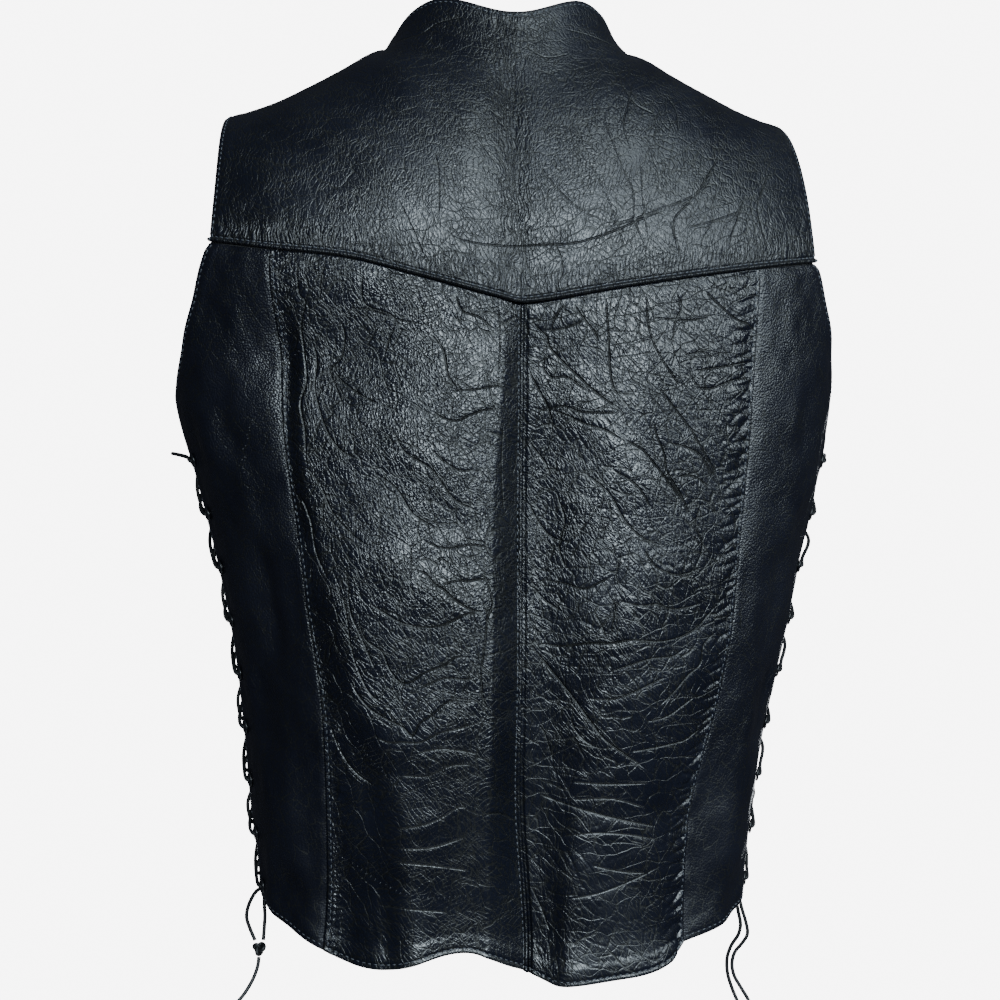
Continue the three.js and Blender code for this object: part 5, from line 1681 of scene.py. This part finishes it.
METAL = enamelled_brass("black_enamelled_eyelet_brass", 0.3)
for sign, word in ((-1, "left"), (1, "right")):
    top_side = -1 if EYELET_ROWS % 2 == 1 else 1
    bar_z = EYELET_HIGH_Z + 3
    bar = [edge_place(sign, top_side, bar_z, 0, WALL + INSIDE_OUT),
           middle_place(sign, bar_z + 1, WALL + TOP_BAR_OUT[sign]),
           edge_place(sign, -top_side, bar_z, 0, WALL + INSIDE_OUT)]
    route = np.array(zigzag(sign, -1, CROSSING_LIFT) + bar + zigzag(sign, 1, -CROSSING_LIFT)[::-1])
    path = spline(route, LACE_STEP, centripetal=False, tension=0.5)
    lace = put_tube(f"side_lacing_{word}", path, LACE_RADIUS, 8, THONG)
    declare(lace, [f"lace_{word}"])
    for side, where in ((-1, "back"), (1, "front")):
        parts = []
        for row in range(EYELET_ROWS):
            place, normal = lacing_place(sign, side, row)
            parts.append(turned(EYELET_PROFILE, 24, place + normal * (WALL + EYELET_LIFT), normal))
        rings = put_joined(f"eyelet_rings_{where}_{word}", parts, METAL)
        declare(rings, [f"eyelet_{where}_{word}_{row + 1}" for row in range(EYELET_ROWS)])

# Snap caps down the centre front
SNAPS = 4
SNAP_TOP_Z = -262.0
SNAP_PITCH = 78.0
SNAP_LIFT = 0.6
SNAP_METAL = enamelled_brass("black_enamelled_snap_brass", 0.22)
for number in range(SNAPS):
    z = SNAP_TOP_Z - SNAP_PITCH * number
    base = float(body_point(1, 0.0, z - BLADE_Z)[1]) + LAP_LIFT + WALL + SNAP_LIFT
    solid = turned(SNAP_PROFILE, 40, np.array([0, base, z]), np.array([0.0, 1, 0]))
    cap = put_joined(f"snap_cap_{number + 1}", [solid], SNAP_METAL)
    declare(cap, [f"snap_{number + 1}"])

# Needle holes left by old seams
HOLE_PITCH = 3.2


def hole_parts():
    """A small raised rim at each hole, on the nearest point of the panel that lies there."""
    parts = []
    for line in NEEDLE_HOLES:
        path = spline(np.array(line, float), 1.0)
        run = lengths_along(path)
        at = np.arange(0.5, run[-1], HOLE_PITCH)
        for x, z in zip(np.interp(at, run, path[:, 0]), np.interp(at, run, path[:, 1])):
            panel = panels["centre" if abs(x) < abs(seam_x(np.sign(x), z)) else "side", int(np.sign(x))]
            away = np.hypot(panel.outer[..., 0] - x, panel.outer[..., 2] - z)
            k = np.unravel_index(np.argmin(away), away.shape)
            parts.append(turned(HOLE_PROFILE, 8, panel.outer[k], panel.skin_normal[k]))
    return parts


holes = put_joined("needle_holes", hole_parts(), PLAIN_HIDE)
declare(holes)

# Floor, world and lights
FLOOR_Z = -1.35
FLOOR_RADIUS = 0.62
FLOOR_SIDES = 64
# Lights: name, place, aim, size, power, colour
LIGHTS = [
    ("window_low", (0.1, -2.5, 0.3), (0.1, 0.0, 0.3), (1.7, 0.76), 100.0, (0.8, 0.93, 1.0)),
    ("window_high", (0.2, -2.38, 1.2), (0.2, 0.0, 0.4), (1.6, 1.0), 24.0, (0.8, 0.93, 1.0)),
    ("softbox_right", (1.8, -1.62, 0.5), (0.0, 0.0, -0.15), (1.2, 1.0), 38.0, (0.82, 0.95, 1.0)),
    ("softbox_above", (0.8, -1.3, 1.6), (0.05, 0.0, -0.1), (1.5, 1.2), 26.0, (0.82, 0.96, 1.0)),
    ("front_fill", (0.3, 2.3, -0.4), (0.0, 0.0, -0.3), (1.6, 1.6), 45.0, (0.9, 0.95, 1.0)),
]


def add_floor():
    """One round sheet of paper far below the hem."""
    angle = turns_of(FLOOR_SIDES)
    rim = np.stack([np.cos(angle), np.sin(angle), 0 * angle], -1) * FLOOR_RADIUS + [0, 0, FLOOR_Z]
    floor = put_mesh("floor", rim / MM, np.arange(FLOOR_SIDES)[None], [studio_paper()])


def add_light(name, at, aim, size, power, colour):
    """A flat light of a size in metres and a power in watts, aimed at a point."""
    data = bpy.data.lights.new(name, "AREA")
    data.shape = "RECTANGLE"
    data.size, data.size_y = size
    data.energy = power
    data.color = colour
    light = put_object(name, data)
    light.location = at
    light.rotation_euler = (Vector(aim) - Vector(at)).to_track_quat("-Z", "Y").to_euler()


def add_world():
    """Near-white behind the vest, and a dim room in its reflections."""
    world = bpy.data.worlds.new("studio")
    world.use_nodes = True
    tree = world.node_tree
    tree.nodes.clear()
    seen = add_node(tree, "ShaderNodeLightPath").outputs["Is Camera Ray"]
    dim = add_node(tree, "ShaderNodeBackground", {"Color": (0.72, 0.78, 1.0, 1), "Strength": 0.05}).outputs[0]
    pale = add_node(tree, "ShaderNodeBackground", {"Color": linear("#f4f3f4"), "Strength": 8.0}).outputs[0]
    both = add_node(tree, "ShaderNodeMixShader", {0: seen, 1: dim, 2: pale}).outputs[0]
    add_node(tree, "ShaderNodeOutputWorld", {"Surface": both})
    bpy.context.scene.world = world


add_floor()
add_world()
for light in LIGHTS:
    add_light(*light)
